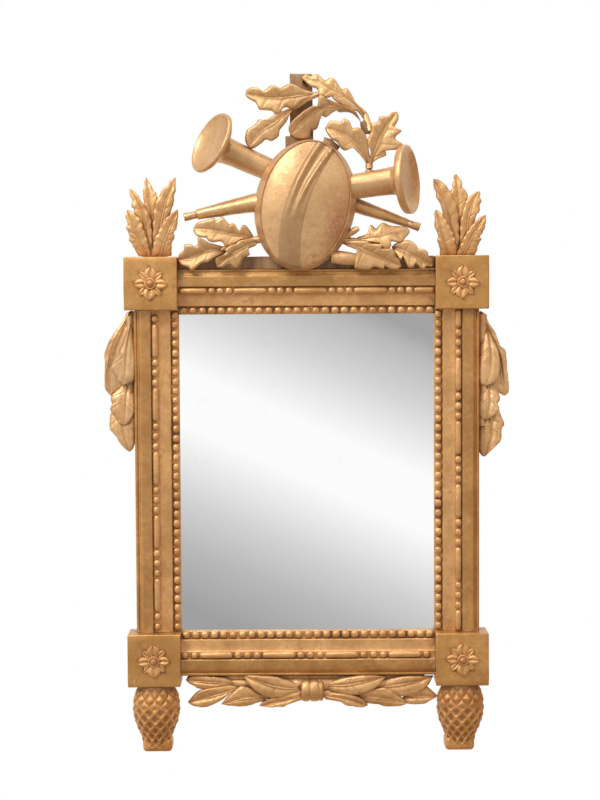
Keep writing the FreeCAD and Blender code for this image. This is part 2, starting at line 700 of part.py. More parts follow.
board_half = Vector(HALF_W + BOARD_LAP, 0, HALF_H + BOARD_LAP)
boarding = box(Vector(0, BACK_Y, 0) - board_half, board_half)
back_edges = [e for e in boarding.Edges if e.BoundBox.YMin > -0.1]
boarding = drilled(boarding.makeChamfer(BOARD_BEVEL, back_edges), nail_holes)
for i in range(BOARD_COUNT):
    left_edge = -board_half.x + i * board_w
    seam = Vector(BOARD_GAP / 2, 0, 0)
    room_low = Vector(left_edge, BACK_Y, -board_half.z) + seam
    room = box(room_low, Vector(left_edge + board_w, 0, board_half.z) - seam)
    export(f"backboard_{i + 1}", boarding.common(room))
export("backboard_nails", Part.makeCompound(nails))


def hanger_strap():
    """A strap on the right stile, rolled at its upper end into the knuckle that holds the ring."""
    low = Vector(strap_x - STRAP_W / 2, BACK_Y, strap_foot)
    leaf_plate = box(low, Vector(strap_x + STRAP_W / 2, BACK_Y + STRAP_T, pin_z))
    feet = [e for e in leaf_plate.Edges if e.BoundBox.ZMax < strap_foot + 0.1 and e.BoundBox.YLength > 1]
    leaf_plate = leaf_plate.makeFillet(STRAP_W * 0.4, feet)
    start, end = Vector(low.x, pin_y, pin_z), Vector(low.x + STRAP_W, pin_y, pin_z)
    knuckle = rod(start, end, pin_r + STRAP_T)
    return drilled(fused([leaf_plate, knuckle]).cut(rod(start, end, pin_r)), screw_holes)


def hang_ring():
    """A D of round wire: a straight pin through the knuckle, two legs and a bow that hangs down."""
    half = RING_W / 2 - RING_WIRE_R
    corner = half / 3
    bow_z = -(RING_H - RING_WIRE_R - half)
    diagonal = corner * (1 - math.sqrt(0.5))

    def at(x, z):
        return Vector(strap_x + x, pin_y, pin_z + z)
    path = Part.Wire([
        Part.LineSegment(at(-half + corner, 0), at(half - corner, 0)).toShape(),
        Part.Arc(at(half - corner, 0), at(half - diagonal, -diagonal), at(half, -corner)).toShape(),
        Part.LineSegment(at(half, -corner), at(half, bow_z)).toShape(),
        Part.Arc(at(half, bow_z), at(0, bow_z - half), at(-half, bow_z)).toShape(),
        Part.LineSegment(at(-half, bow_z), at(-half, -corner)).toShape(),
        Part.Arc(at(-half, -corner), at(-half + diagonal, -diagonal), at(-half + corner, 0)).toShape(),
    ])
    section = Part.Wire(Part.Circle(at(-half + corner, 0), ACROSS, RING_WIRE_R).toShape())
    return path.makePipeShell([section], True, False)


right_strap, right_ring = hanger_strap(), hang_ring()
for side in SIDES:
    flip = mirrored if side == "left" else Part.Shape.copy
    export(f"hanger_strap_{side}", flip(right_strap))
    export(f"hang_ring_{side}", flip(right_ring))
export("hanger_screws", Part.makeCompound(screws))

# Crest

CREST = Vector(0, 0, LEDGE_TOP)
ledge = box(Vector(-HALF_W, LEDGE_FACE_Y, RAIL_OUT), Vector(HALF_W, BACK_Y, LEDGE_TOP))
ledge = drilled(ledge, dowel_holes)
export("crest_ledge", ledge)
post_low = Vector(POST_X - POST_W / 2, BACK_Y - POST_T, LEDGE_TOP)
post = drilled(box(post_low, post_low + Vector(POST_W, POST_T, POST_H)), dowel_holes)
export("crest_post", post)

# Horns: the mouthpiece's end, the bend and the bell's neck, then radii along the tube
LEFT_BELL_PATH = [Vector(129, -30, 41), Vector(20, -25, 78), Vector(-106, -40, 136)]
LEFT_BELL_RADII = [5.3, 8.2, 11.0, 13.2, 14.2, 14.0]
LEFT_BELL_AXIS = Vector(-0.78, -0.48, 0.40)
RIGHT_BELL_PATH = [Vector(-138, -40, 53), Vector(-30, -42, 76), Vector(112, -47, 94)]
RIGHT_BELL_RADII = [6.7, 9.8, 12.6, 14.2, 15.4, 15.0]
RIGHT_BELL_AXIS = Vector(0.94, -0.33, 0.07)


def horn_and_mouthpiece(path, radii, axis, bell_r, bell_l):
    path = [CREST + point for point in path]
    outward = path[0] - path[1]
    plug = mouthpiece(path[0], outward)
    away = Vector(outward).normalize()
    socket = rod(path[0], path[0] - away * (SPIGOT_L + JOINT_CLEAR), SPIGOT_R + HOLE_CLEAR)
    return horn(path, radii, Vector(axis).normalize(), bell_r, bell_l).cut(socket), plug


left_horn, right_plug = horn_and_mouthpiece(
    LEFT_BELL_PATH, LEFT_BELL_RADII, LEFT_BELL_AXIS, LEFT_BELL_R, LEFT_BELL_L)
right_horn, left_plug = horn_and_mouthpiece(
    RIGHT_BELL_PATH, RIGHT_BELL_RADII, RIGHT_BELL_AXIS, RIGHT_BELL_R, RIGHT_BELL_L)
left_horn = carved_round(left_horn, [post, ledge])
right_horn = carved_round(right_horn, [post, ledge, left_horn])
export("horn_left_bell", left_horn)
export("horn_right_bell", right_horn)
export("mouthpiece_right", right_plug)
export("mouthpiece_left", left_plug)
flask_solid = carved_round(flask(), [post, ledge, top_rail, left_horn, right_horn])
export("flask", flask_solid)
trophy = [post, ledge, top_rail, left_horn, right_horn, flask_solid, left_plug, right_plug]

right_spray = spray(CREST, [
    Leaf((80, -42, 106), (27, -46, 163), 37),
    Leaf((80, -42, 107), (115, -47, 179), 42),
], [((80, -43, 116), (80, -44, 96), 5.0, 6.0)])
right_spray = carved_round(right_spray, trophy)
export("spray_right", right_spray)

upper_right_spray = spray(CREST, [
    Leaf((62, -36, 192), (-4, -35, 225), 29),
    Leaf((42, -37, 189), (-16, -36, 153), 31),
], [
    ((77, -37, 166), (60, -37, 193), 4.6, 3.6),
    ((69, -38, 164), (58, -38, 182), 4.0, 3.4),
    ((58, -38, 182), (38, -38, 188), 3.4, 3.0),
    ((68, -37, 164), (88, -43, 162), 5.5, 4.0),
    ((-4, -33, 165), (-4, -18, 165), 4.0, 4.5),
    ((-2, -33, 220), (-2, -18, 220), 4.0, 4.5),
])
upper_right_spray = carved_round(upper_right_spray, trophy + [right_spray])
export("spray_upper_right", upper_right_spray)

upper_left_spray = spray(CREST, [
    Leaf((14, -33, 204), (-76, -38, 203), 36),
    Leaf((8, -33, 202), (-70, -45, 139), 31),
], [
    ((12, -33, 204), (-12, -34, 186), 4.0, 3.5),
    ((-6, -34, 198), (-6, -18, 196), 5.0, 5.5),
])
upper_left_spray = carved_round(upper_left_spray, trophy + [upper_right_spray])
export("spray_upper_left", upper_left_spray)

top_blocks = [blocks["top_left"], blocks["top_right"]]
lower_left_spray = spray(CREST, [
    Leaf((-64, -42, 24), (-142, -46, 36), 32),
    Leaf((-99, -43, 8), (-161, -44, -6), 36),
    Leaf((-64, -46, 24), (-115, -50, -12), 35),
], [
    ((-58, -42, 22), (-106, -43, 8), 5.0, 4.0),
    ((-134, -42, 1), (-134, -28, -4), 4.0, 4.5),
])
lower_left_spray = carved_round(lower_left_spray, trophy + top_blocks)
export("spray_lower_left", lower_left_spray)

lower_right_spray = spray(CREST, [
    Leaf((56, -41, 20), (129, -45, 31), 32),
    Leaf((46, -46, 20), (121, -50, -12), 32),
    Leaf((103, -43, 13), (160, -45, -13), 31),
], [
    ((42, -42, 18), (108, -43, 11), 5.0, 4.0),
    ((130, -42, 0), (130, -28, -4), 4.0, 4.5),
    ((34, -46, -5), (64, -46, -6), 8.5, 7.5),
    ((50, -46, 22), (67, -50, 31), 4.0, 5.0),
])
lower_right_spray = carved_round(lower_right_spray, trophy + top_blocks)
export("spray_lower_right", lower_right_spray)
export("crest_dowels", Part.makeCompound([upright_dowel(*place, 0) for place in crest_places]))

# Finials on the upper blocks

finial_at = Vector(-BLOCK_X, BLOCK_MID_Y, LEDGE_TOP)
finial_leaves = [
    Leaf((-5, -5, 2), (-31, -12, 61), 29, "toothed"),
    Leaf((-3, -2, 22), (-27, -5, 87), 27, "toothed"),
    Leaf((-1, 0, 34), (-5, 2, 102), 26, "toothed"),
    Leaf((2, -2, 24), (31, -3, 102), 27, "toothed"),
    Leaf((5, -5, 2), (34, -12, 60), 29, "toothed"),
]
finial_core = Part.makeCone(FINIAL_CORE_R, FINIAL_CORE_TOP_R, FINIAL_CORE_H, finial_at, UP)
finial = fused([finial_core] + [leaf(spec, finial_at) for spec in finial_leaves])
finial = carved_round(drilled(finial, dowel_holes), [blocks["top_left"]])
for side, shape in both_sides(finial).items():
    export(f"finial_{side}", shape)
export("finial_dowels", Part.makeCompound([upright_dowel(*place, 0) for place in finial_places]))

# Leaf drops on the outer sides of the stiles

drop_at = Vector(-STILE_OUT, BACK_Y, HALF_H)
drop = spray(drop_at, [
    Leaf((-10, -16, -5), (-31, -14, -109), 40, "laurel"),
    Leaf((-12, -22, -30), (-12, -26, -97), 26, "laurel"),
    Leaf((-20, -16, -76), (-14, -20, -149), 34, "laurel"),
    Leaf((-20, -14, -114), (-9, -18, -182), 33, "laurel"),
], [
    ((-5, -14, -7), (-6, -14, -90), 6.5, 6.6),
    ((-6, -14, -90), (-5, -14, -150), 6.6, 5.6),
    ((-6, -14, -40), (-12, -24, -38), 5.0, 4.0),
    ((-6, -14, -86), (-19, -18, -84), 5.0, 4.0),
    ((-6, -14, -124), (-19, -16, -122), 5.0, 4.0),
])
drop = carved_round(drop, [stiles["left"], blocks["top_left"]])
for side, shape in both_sides(drop).items():
    export(f"side_drop_{side}", shape)

# Feet under the lower blocks

foot = moved(pine_cone_foot(), Vector(-BLOCK_X, BLOCK_MID_Y, -LEDGE_TOP))
feet = both_sides(main_solid(drilled(foot, dowel_holes)))
for side, shape in feet.items():
    export(f"pine_cone_foot_{side}", shape)
export("foot_dowels", Part.makeCompound([upright_dowel(*place, 0) for place in foot_places]))

# Tied garland under the bottom rail

garland_at = Vector(0, BACK_Y, -RAIL_OUT)
spine_mid_r = (SPINE_R + SPINE_END_R) / 2
garland = spray(garland_at, [
    Leaf((-12, -24, -20), (-90, -24, -4), 24, "laurel"),
    Leaf((-12, -26, -28), (-68, -28, -38), 13, "laurel", 4.0, 2.0),
    Leaf((-54, -24, -25), (-117, -26, -36), 18, "laurel", 4.0, 2.0),
    Leaf((-92, -22, -14), (-161, -24, -35), 21, "laurel"),
    Leaf((-90, -23, -10), (-163, -21, -4), 17, "laurel"),
], [
    ((-2, -19, -12), (-90, -18, -9), SPINE_R, spine_mid_r),
    ((-90, -18, -9), (-150, -18, -7), spine_mid_r, SPINE_END_R),
    ((-2, -22, -24), (-58, -21, -24), SPINE_END_R, SPINE_END_R - 1),
])
garland_room = box(Vector(-SIGHT_W, -SIGHT_W, -SIGHT_H), Vector(-BOARD_GAP / 2, 0, 0))
garland_seats = [bottom_rail, blocks["bottom_left"], blocks["bottom_right"]] + list(feet.values())
garlands = both_sides(garland.common(garland_room))
for side, shape in garlands.items():
    garlands[side] = carved_round(moved(shape, ACROSS * GARLAND_X), garland_seats)
    export(f"garland_{side}", garlands[side])
tie_start = garland_at + Vector(GARLAND_X - TIE_W / 2, -20, -20)
tie = rod(tie_start, tie_start + ACROSS * TIE_W, TIE_R)
tie = tie.makeFillet(TIE_EDGE_R, [e for e in tie.Edges if e.Curve.TypeId == "Part::GeomCircle"])
tie = tie.cut(Part.makeTorus(TIE_R, TIE_GROOVE_R, tie_start + ACROSS * TIE_W / 2, ACROSS))
export("garland_tie", carved_round(tie, list(garlands.values()) + [bottom_rail]))
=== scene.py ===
import math
import random

import bmesh
import bpy
from mathutils import Matrix, Quaternion, Vector, noise
from mathutils.bvhtree import BVHTree


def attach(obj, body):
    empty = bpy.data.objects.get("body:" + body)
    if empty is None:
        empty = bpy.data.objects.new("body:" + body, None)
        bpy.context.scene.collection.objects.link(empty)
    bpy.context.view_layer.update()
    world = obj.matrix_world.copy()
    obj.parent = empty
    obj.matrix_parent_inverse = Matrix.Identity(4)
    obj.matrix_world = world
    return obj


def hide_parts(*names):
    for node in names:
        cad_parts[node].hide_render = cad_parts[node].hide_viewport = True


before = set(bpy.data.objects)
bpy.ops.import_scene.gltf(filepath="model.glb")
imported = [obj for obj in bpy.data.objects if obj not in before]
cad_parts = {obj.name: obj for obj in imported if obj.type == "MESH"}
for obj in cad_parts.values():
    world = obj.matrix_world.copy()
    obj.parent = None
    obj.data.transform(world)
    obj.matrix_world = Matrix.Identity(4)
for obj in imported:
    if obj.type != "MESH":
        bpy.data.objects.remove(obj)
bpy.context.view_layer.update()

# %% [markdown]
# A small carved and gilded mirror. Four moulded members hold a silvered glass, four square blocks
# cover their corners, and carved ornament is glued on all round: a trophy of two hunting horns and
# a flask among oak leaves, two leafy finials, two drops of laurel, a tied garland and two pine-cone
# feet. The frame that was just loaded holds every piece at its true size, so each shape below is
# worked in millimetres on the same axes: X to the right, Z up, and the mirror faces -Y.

MM = 0.001
FRONT = Vector((0, -1, 0))
UP = Vector((0, 0, 1))
noise.seed_set(7)              # the same unevenness in every run

# %% [markdown]
# The mirror hangs before white paper in soft light. The paper is white for the eye and for anything
# that shines, while the light that falls on the carving stays moderate. A large lamp up on the left
# does most of the work, a weaker one fills from the right, and a lamp above picks out the leaf tips.
# A silvered glass shows only what stands before it, so a card with a pale diagonal band stands
# behind the camera: the streak across the glass is that band. Gold needs something dark to reflect as
# well, or it looks like paint, so a brown cloth hangs on the right and another lies below.

# %% Camera, paper and lamps
scene = bpy.context.scene
scene.view_settings.view_transform = "Standard"


def aimed(thing, place, target, roll=0.0):
    """Puts a lamp or camera in place and points it at a target."""
    facing = (Vector(target) - Vector(place)).to_track_quat("-Z", "Y")
    thing.location = place
    thing.rotation_euler = (facing @ Quaternion((0, 0, 1), math.radians(roll))).to_euler()
    scene.collection.objects.link(thing)
    return thing


EYE, AIM = Vector((-0.011, -2.320, 0.222)), (-0.0088, -0.045, 0.092)
ROLL = -0.3                    # degrees
FOCAL, SENSOR = 80.7, 36.0     # millimetres
MIDDLE = (0, 0, 0.05)          # what the lamps are aimed at
lens = bpy.data.cameras.new("camera")
lens.sensor_fit = "VERTICAL"
lens.sensor_height = SENSOR
lens.lens = FOCAL
scene.camera = aimed(bpy.data.objects.new("camera", lens), EYE, AIM, ROLL)


def lamp(name, place, size, watts):
    """A square soft lamp aimed at the middle of the mirror."""
    data = bpy.data.lights.new(name, "AREA")
    data.size = size
    data.energy = watts
    return aimed(bpy.data.objects.new(name, data), place, MIDDLE)


lamp("key", (-1.1, -1.5, 1.6), 0.9, 30.0)
lamp("fill", (1.6, -1.6, 0.3), 1.4, 7.0)
lamp("top", (0.1, -0.5, 2.0), 0.8, 9.0)

# %% Paper that is white to the eye
def nodes_for(owner):
    """An empty node tree for a material or the world, ready to be filled."""
    owner.use_nodes = True
    owner.node_tree.nodes.clear()
    return owner.node_tree


def add(tree, kind, inputs, **settings):
    """One node: settings first, then each input is a link or a value."""
    node = tree.nodes.new("ShaderNode" + kind)
    for key, value in settings.items():
        setattr(node, key, value)
    for key, value in inputs.items():
        if isinstance(value, bpy.types.NodeSocket):
            tree.links.new(value, node.inputs[key])
        else:
            node.inputs[key].default_value = value
    return node


def math_node(tree, operation, a, b=0.0, clamp=False):
    return add(tree, "Math", {0: a, 1: b}, operation=operation, use_clamp=clamp).outputs[0]


def seen_directly(tree):
    """1 for rays from the eye, or by way of anything that shines or lets light through."""
    rays = tree.nodes.new("ShaderNodeLightPath").outputs
    return math_node(tree, "MAXIMUM", rays["Is Camera Ray"],
                     math_node(tree, "MAXIMUM", rays["Is Glossy Ray"], rays["Is Transmission Ray"]))


AMBIENT = 0.42
world = bpy.data.worlds.new("paper white")
scene.world = world
tree = nodes_for(world)
strength = add(tree, "MapRange", {"Value": seen_directly(tree), "To Min": AMBIENT, "To Max": 1.0})
sky = add(tree, "Background", {"Color": (1, 1, 1, 1), "Strength": strength.outputs[0]})
add(tree, "OutputWorld", {"Surface": sky.outputs[0]})

paper = bpy.data.materials.new("paper")
tree = nodes_for(paper)
white = add(tree, "Emission", {"Color": (1, 1, 1, 1), "Strength": 1.0})
soft = add(tree, "BsdfDiffuse", {"Color": (0.86, 0.86, 0.85, 1)})
both = add(tree, "MixShader", {"Fac": seen_directly(tree), 1: soft.outputs[0], 2: white.outputs[0]})
add(tree, "OutputMaterial", {"Surface": both.outputs[0]})


def sheet(name, material, corners):
    """A flat stage sheet through four corners."""
    bm = bmesh.new()
    bm.faces.new([bm.verts.new(corner) for corner in corners])
    mesh = bpy.data.meshes.new(name)
    bm.to_mesh(mesh)
    bm.free()
    mesh.materials.append(material)
    made = bpy.data.objects.new(name, mesh)
    scene.collection.objects.link(made)
    return made


FLOOR_Z = -1.25
sheet("floor", paper, [(-4, -4, FLOOR_Z), (4, -4, FLOOR_Z), (4, 5, FLOOR_Z), (-4, 5, FLOOR_Z)])

# %% The card that the glass reflects
CARD_Y = -2.6
BAND_X, BAND_Z, BAND_SLOPE = -0.008, -0.19, -0.4545    # a point of the pale band, and its height over width
BAND_REACH = 0.75              # how far to either side of the band the shades are laid out
# distance from the middle of the band, and how bright the card is there
SHADES = ((-0.52, 0.36), (-0.37, 0.50), (-0.248, 0.67), (-0.068, 1.0),
          (0.068, 1.0), (0.248, 0.67), (0.37, 0.50), (0.422, 0.38))
card_paint = bpy.data.materials.new("graded card")
tree = nodes_for(card_paint)
axes = add(tree, "SeparateXYZ", {0: add(tree, "TexCoord", {}).outputs["Object"]}).outputs
run = math_node(tree, "MULTIPLY", math_node(tree, "SUBTRACT", axes["X"], BAND_X), BAND_SLOPE)
above = math_node(tree, "SUBTRACT", math_node(tree, "SUBTRACT", axes["Z"], BAND_Z), run)
off_band = math_node(tree, "MULTIPLY", above, 1 / math.hypot(1, BAND_SLOPE))
laid_out = add(tree, "MapRange", {"Value": off_band, "From Min": -BAND_REACH, "From Max": BAND_REACH})
grade = add(tree, "ValToRGB", {"Fac": laid_out.outputs[0]})
stops = grade.color_ramp.elements
while len(stops) < len(SHADES):
    stops.new(0.5)
for stop, (distance, value) in zip(stops, SHADES):
    stop.position = 0.5 + distance / BAND_REACH / 2
    stop.color = (value, value, value, 1)
glow = add(tree, "Emission", {"Color": grade.outputs[0], "Strength": 1.0})
add(tree, "OutputMaterial", {"Surface": glow.outputs[0]})
corners = [(-1.6, CARD_Y, -1.2), (1.6, CARD_Y, -1.2), (1.6, CARD_Y, 1.2), (-1.6, CARD_Y, 1.2)]
card = sheet("graded card", card_paint, corners)
card.visible_camera = card.visible_diffuse = card.visible_shadow = False


def cloth(name, colour, corners):
    """A cloth that only the gold's reflections see."""
    material = bpy.data.materials.new(name)
    tree = nodes_for(material)
    glow = add(tree, "Emission", {"Color": colour, "Strength": 1.0})
    add(tree, "OutputMaterial", {"Surface": glow.outputs[0]})
    made = sheet(name, material, corners)
    made.visible_camera = made.visible_diffuse = made.visible_shadow = made.visible_transmission = False


cloth("cloth on the right", (0.50, 0.34, 0.21, 1),
      [(1.3, -2.4, -1.1), (1.3, 0.9, -1.1), (1.3, 0.9, 0.9), (1.3, -2.4, 0.9)])
cloth("cloth below", (0.46, 0.31, 0.19, 1),
      [(-1.2, -1.9, -0.9), (1.2, -1.9, -0.9), (1.2, 0.3, -0.9), (-1.2, 0.3, -0.9)])
print("stage: camera, 3 lamps, floor, card and 2 cloths")

# %% [markdown]
# Gilding is many thin coats: glue and chalk (gesso) to fill the wood, then red clay (bole), then
# gold leaf. On the burnished parts the leaf is rubbed with an agate until it shines; on the matt
# parts it is left soft. Two hundred years rub the gold off in places, so the red clay shows there,
# wear it thin on the edges and leave brown dirt in the hollows. Here the edges are painted pale,
# partly as that wear and partly as a painted highlight, and the hollows and grooves are painted dark,
# partly as that dirt and partly as painted shade. Two numbers stored on every point of the carving
# steer this: "recess" says how shut in a point lies, and "edge" says how sharply the surface turns
# away there.

# %% Gilding, wood, iron and silvered glass
def noise_at(tree, place, scale, detail=3.0, roughness=0.55):
    inputs = {"Vector": place, "Scale": scale, "Detail": detail, "Roughness": roughness}
    return add(tree, "TexNoise", inputs).outputs["Fac"]


def between(tree, value, low, high, to_low=0.0, to_high=1.0):
    """A value stretched so that low to high becomes to_low to to_high."""
    inputs = {"Value": value, "From Min": low, "From Max": high, "To Min": to_low, "To Max": to_high}
    return add(tree, "MapRange", inputs).outputs[0]


def spread(tree, value, to_low, to_high):
    """A noise, most of which lies between 0.3 and 0.7, stretched to go from to_low to to_high."""
    return between(tree, value, 0.3, 0.7, to_low, to_high)


def blend_colour(tree, share, a, b):
    node = add(tree, "Mix", {0: share, 6: a, 7: b}, data_type="RGBA")
    return node.outputs[2]


def attribute(tree, name):
    return add(tree, "Attribute", {}, attribute_name=name).outputs["Fac"]


def bump_from(tree, height, distance, strength=1.0):
    return add(tree, "Bump", {"Height": height, "Distance": distance, "Strength": strength}).outputs[0]


def finish_material(tree, **inputs):
    named = {key.replace("_", " ").title().replace("Ior", "IOR"): value for key, value in inputs.items()}
    shader = add(tree, "BsdfPrincipled", named)
    add(tree, "OutputMaterial", {"Surface": shader.outputs[0]})


def blank_material(name):
    """A new material, its empty tree, and the place of each point on the object."""
    material = bpy.data.materials.new(name)
    tree = nodes_for(material)
    return material, tree, add(tree, "TexCoord", {}).outputs["Object"]


def rgb(red, green, blue):
    return (red, green, blue, 1.0)


BOLE = rgb(0.36, 0.115, 0.055)
# dark brown, for dirt and for painted shade in hollows and grooves
GRIME_AND_SHADE = rgb(0.110, 0.046, 0.013)
OLIVE = rgb(0.43, 0.260, 0.080)  # gold under old varnish
GESSO = rgb(0.62, 0.50, 0.36)
# pale gold: gold rubbed thin over the chalk, and on edges also a painted highlight
PALE_GOLD_AND_HIGHLIGHT = rgb(0.80, 0.53, 0.31)   # gold rubbed thin over the chalk
CLOUD, HAZE, MOTTLE, GRIT = 26.0, 120.0, 190.0, 1100.0    # how fine each unevenness of the gilding is
CHIPS = 42.0                   # how close the chips lie


def gilding(name, bright, dull, metal, rough, grain, pale_edge_from):
    """Gold leaf over red clay. grain is the height of its fine unevenness; the last number says where edges turn
    pale, partly as wear and partly as a painted highlight.
    """
    material, tree, place = blank_material(name)
    cloud = noise_at(tree, place, CLOUD, 5.0, 0.6)
    mottle = noise_at(tree, place, MOTTLE, 5.0, 0.65)
    grit = noise_at(tree, place, GRIT, 2.0)
    recess, edge = attribute(tree, "recess"), attribute(tree, "edge")
    gold = blend_colour(tree, between(tree, cloud, 0.38, 0.62), dull, bright)
    gold = blend_colour(tree, between(tree, mottle, 0.46, 0.72, 0.0, 0.7), gold, dull)
    haze = noise_at(tree, place, HAZE, 5.0, 0.75)
    gold = blend_colour(tree, between(tree, haze, 0.52, 0.68, 0.0, 0.42), gold, OLIVE)
    gold = blend_colour(tree, between(tree, haze, 0.48, 0.34, 0.0, 0.28), gold, PALE_GOLD_AND_HIGHLIGHT)
    clay = math_node(tree, "MULTIPLY", attribute(tree, "red"), spread(tree, mottle, 0.35, 0.85))
    patch = math_node(tree, "MULTIPLY", between(tree, cloud, 0.60, 0.70),
                      between(tree, mottle, 0.46, 0.62, 0.0, 0.5))
    gold = blend_colour(tree, math_node(tree, "MAXIMUM", clay, patch), gold, BOLE)
    # painted highlight and wear: sharp outward edges turn pale, partly as gold rubbed thin and partly as a painted
    # highlight
    worn_and_highlit = math_node(tree, "ADD", edge, spread(tree, mottle, -0.20, 0.20))
    worn_and_highlit = between(tree, worn_and_highlit, pale_edge_from, pale_edge_from + 0.25, 0.0, 0.75)
    gold = blend_colour(tree, worn_and_highlit, gold, PALE_GOLD_AND_HIGHLIGHT)
    chip = add(tree, "TexVoronoi", {"Vector": place, "Scale": CHIPS, "Randomness": 1.0}).outputs["Distance"]
    chip = math_node(tree, "ADD", chip, spread(tree, mottle, -0.05, 0.05))
    chipped = math_node(tree, "MULTIPLY", between(tree, chip, 0.075, 0.055, 0.0, 0.7),
                        between(tree, cloud, 0.5, 0.6))
    gold = blend_colour(tree, chipped, gold, GESSO)
    # painted shade and dirt: shut-in points and marked grooves go dark brown; the fine specks are dirt
    hollow_dirt_and_shade = math_node(tree, "ADD", recess, spread(tree, mottle, -0.14, 0.14))
    dirt_and_shade_share = between(tree, hollow_dirt_and_shade, 0.36, 1.0, 0.0, 0.85)
    dirt_and_shade_share = math_node(tree, "MAXIMUM", dirt_and_shade_share, math_node(tree, "MULTIPLY", attribute(tree, "groove"), 0.55))
    dirt_and_shade_share = math_node(tree, "MAXIMUM", dirt_and_shade_share, between(tree, grit, 0.66, 0.74, 0.0, 0.4))
    colour = blend_colour(tree, dirt_and_shade_share, gold, GRIME_AND_SHADE)
    bare = math_node(tree, "MAXIMUM", dirt_and_shade_share, worn_and_highlit, True)
    shine = math_node(tree, "ADD", spread(tree, mottle, rough - 0.07, rough + 0.09),
                      math_node(tree, "MULTIPLY", bare, 0.25))
    height = math_node(tree, "ADD", math_node(tree, "MULTIPLY", mottle, 0.75),
                       math_node(tree, "MULTIPLY", grit, 0.3))
    finish_material(tree, base_color=colour, metallic=between(tree, bare, 0.0, 1.0, metal, 0.1), roughness=shine,
                    normal=bump_from(tree, height, grain))
    return material


def plain_wood(name, light, dark, stretch, rough):
    """Old softwood: grain drawn out along one axis, with darker lines and stains, and its recesses darkened as dirt
    and painted shade.
    """
    material, tree, place = blank_material(name)
    drawn = add(tree, "Mapping", {"Vector": place, "Scale": stretch}).outputs[0]
    grain = noise_at(tree, drawn, 90.0, 6.0, 0.65)
    stain = noise_at(tree, place, 14.0, 4.0)
    pore = noise_at(tree, drawn, 700.0, 2.0)
    colour = blend_colour(tree, between(tree, grain, 0.35, 0.68), light, dark)
    colour = blend_colour(tree, between(tree, stain, 0.5, 0.72, 0.0, 0.6), colour, dark)
    # painted shade and dirt: shut-in points darken towards dark brown
    colour = blend_colour(tree, math_node(tree, "MULTIPLY", attribute(tree, "recess"), 0.45), colour, GRIME_AND_SHADE)
    height = math_node(tree, "ADD", grain, math_node(tree, "MULTIPLY", pore, 0.4))
    finish_material(tree, base_color=colour, roughness=spread(tree, pore, rough - 0.08, rough + 0.08),
                    normal=bump_from(tree, height, 0.0006))
    return material


def wrought_iron():
    """Dark iron with rust in patches."""
    material, tree, place = blank_material("wrought iron")
    patch = noise_at(tree, place, 160.0, 5.0)
    pit = noise_at(tree, place, 1100.0, 3.0)
    rust = between(tree, patch, 0.48, 0.66)
    colour = blend_colour(tree, rust, rgb(0.055, 0.050, 0.047), rgb(0.17, 0.062, 0.022))
    finish_material(tree, base_color=colour, metallic=between(tree, rust, 0.0, 1.0, 0.85, 0.15),
                    roughness=spread(tree, pit, 0.42, 0.7), normal=bump_from(tree, pit, 0.0004))
    return material


def silvered_glass():
    """A mirror with a faint grey bloom where the silvering has aged."""
    material, tree, place = blank_material("silvered glass")
    bloom = between(tree, noise_at(tree, place, 34.0, 6.0), 0.62, 0.8, 0.0, 0.35)
    colour = blend_colour(tree, bloom, rgb(0.965, 0.97, 0.97), rgb(0.80, 0.81, 0.81))
    finish_material(tree, base_color=colour, metallic=1.0, roughness=between(tree, bloom, 0.0, 0.35, 0.004, 0.03))
    return material


matt_gold = gilding("matt gilding", rgb(0.83, 0.455, 0.180), rgb(0.60, 0.305, 0.110), 0.6, 0.42, 0.0007, 0.55)
burnished_gold = gilding("burnished gilding", rgb(0.66, 0.345, 0.115), rgb(0.49, 0.235, 0.070),
                         0.65, 0.34, 0.0004, 0.50)
block_gold = gilding("block gilding", rgb(0.71, 0.368, 0.114), rgb(0.53, 0.250, 0.068), 0.6, 0.36, 0.0004, 0.40)
leaf_gold = gilding("leaf gilding", rgb(0.82, 0.500, 0.235), rgb(0.60, 0.335, 0.135), 0.6, 0.42, 0.0005, 0.60)
horn_gold = gilding("horn gilding", rgb(0.76, 0.465, 0.225), rgb(0.62, 0.355, 0.155), 0.65, 0.36, 0.0004, 0.60)
flask_gold = gilding("flask gilding", rgb(0.72, 0.430, 0.200), rgb(0.58, 0.325, 0.140), 0.45, 0.38, 0.0004, 0.60)
side_gold = gilding("laurel gilding", rgb(0.83, 0.475, 0.200), rgb(0.58, 0.305, 0.115), 0.6, 0.42, 0.0005, 0.55)
drop_gold = gilding("drop gilding", rgb(0.90, 0.555, 0.270), rgb(0.66, 0.375, 0.155), 0.55, 0.42, 0.0005, 0.60)
foot_gold = gilding("cone gilding", rgb(0.80, 0.390, 0.125), rgb(0.57, 0.250, 0.072), 0.55, 0.42, 0.0005, 0.36)
raw_wood = plain_wood("stained wood", rgb(0.60, 0.340, 0.155), rgb(0.20, 0.100, 0.042), (1.0, 1.0, 0.12), 0.6)
pine_boards = plain_wood("old pine", rgb(0.40, 0.255, 0.130), rgb(0.19, 0.105, 0.048), (1.0, 1.0, 0.06), 0.66)
iron = wrought_iron()
mirror_silver = silvered_glass()
print("materials:", [m.name for m in bpy.data.materials])

# %% [markdown]
# A few bench tools come first. Each one starts from a simple shape and works it: a face pulled along
# a path makes a stem or a horn, an outline spun round an axis makes a bell, and a flat grid pushed
# into shape makes a leaf or a petal. Every finished piece is scaled from millimetres to metres,
# named, and fixed to the mirror in place of the plain solid that it stands for.

# %% Bench tools
BROAD = 40                     # a face is broad if it holds this many squares as wide as the softening
BOX_WAVE = 17.0                # length of the waves on a flat face
pieces = []


def shake(point, scale, amount):
    """A smooth, repeatable unevenness, as left by a hand tool and thick gesso."""
    return noise.noise_vector(Vector(point) / scale) * amount


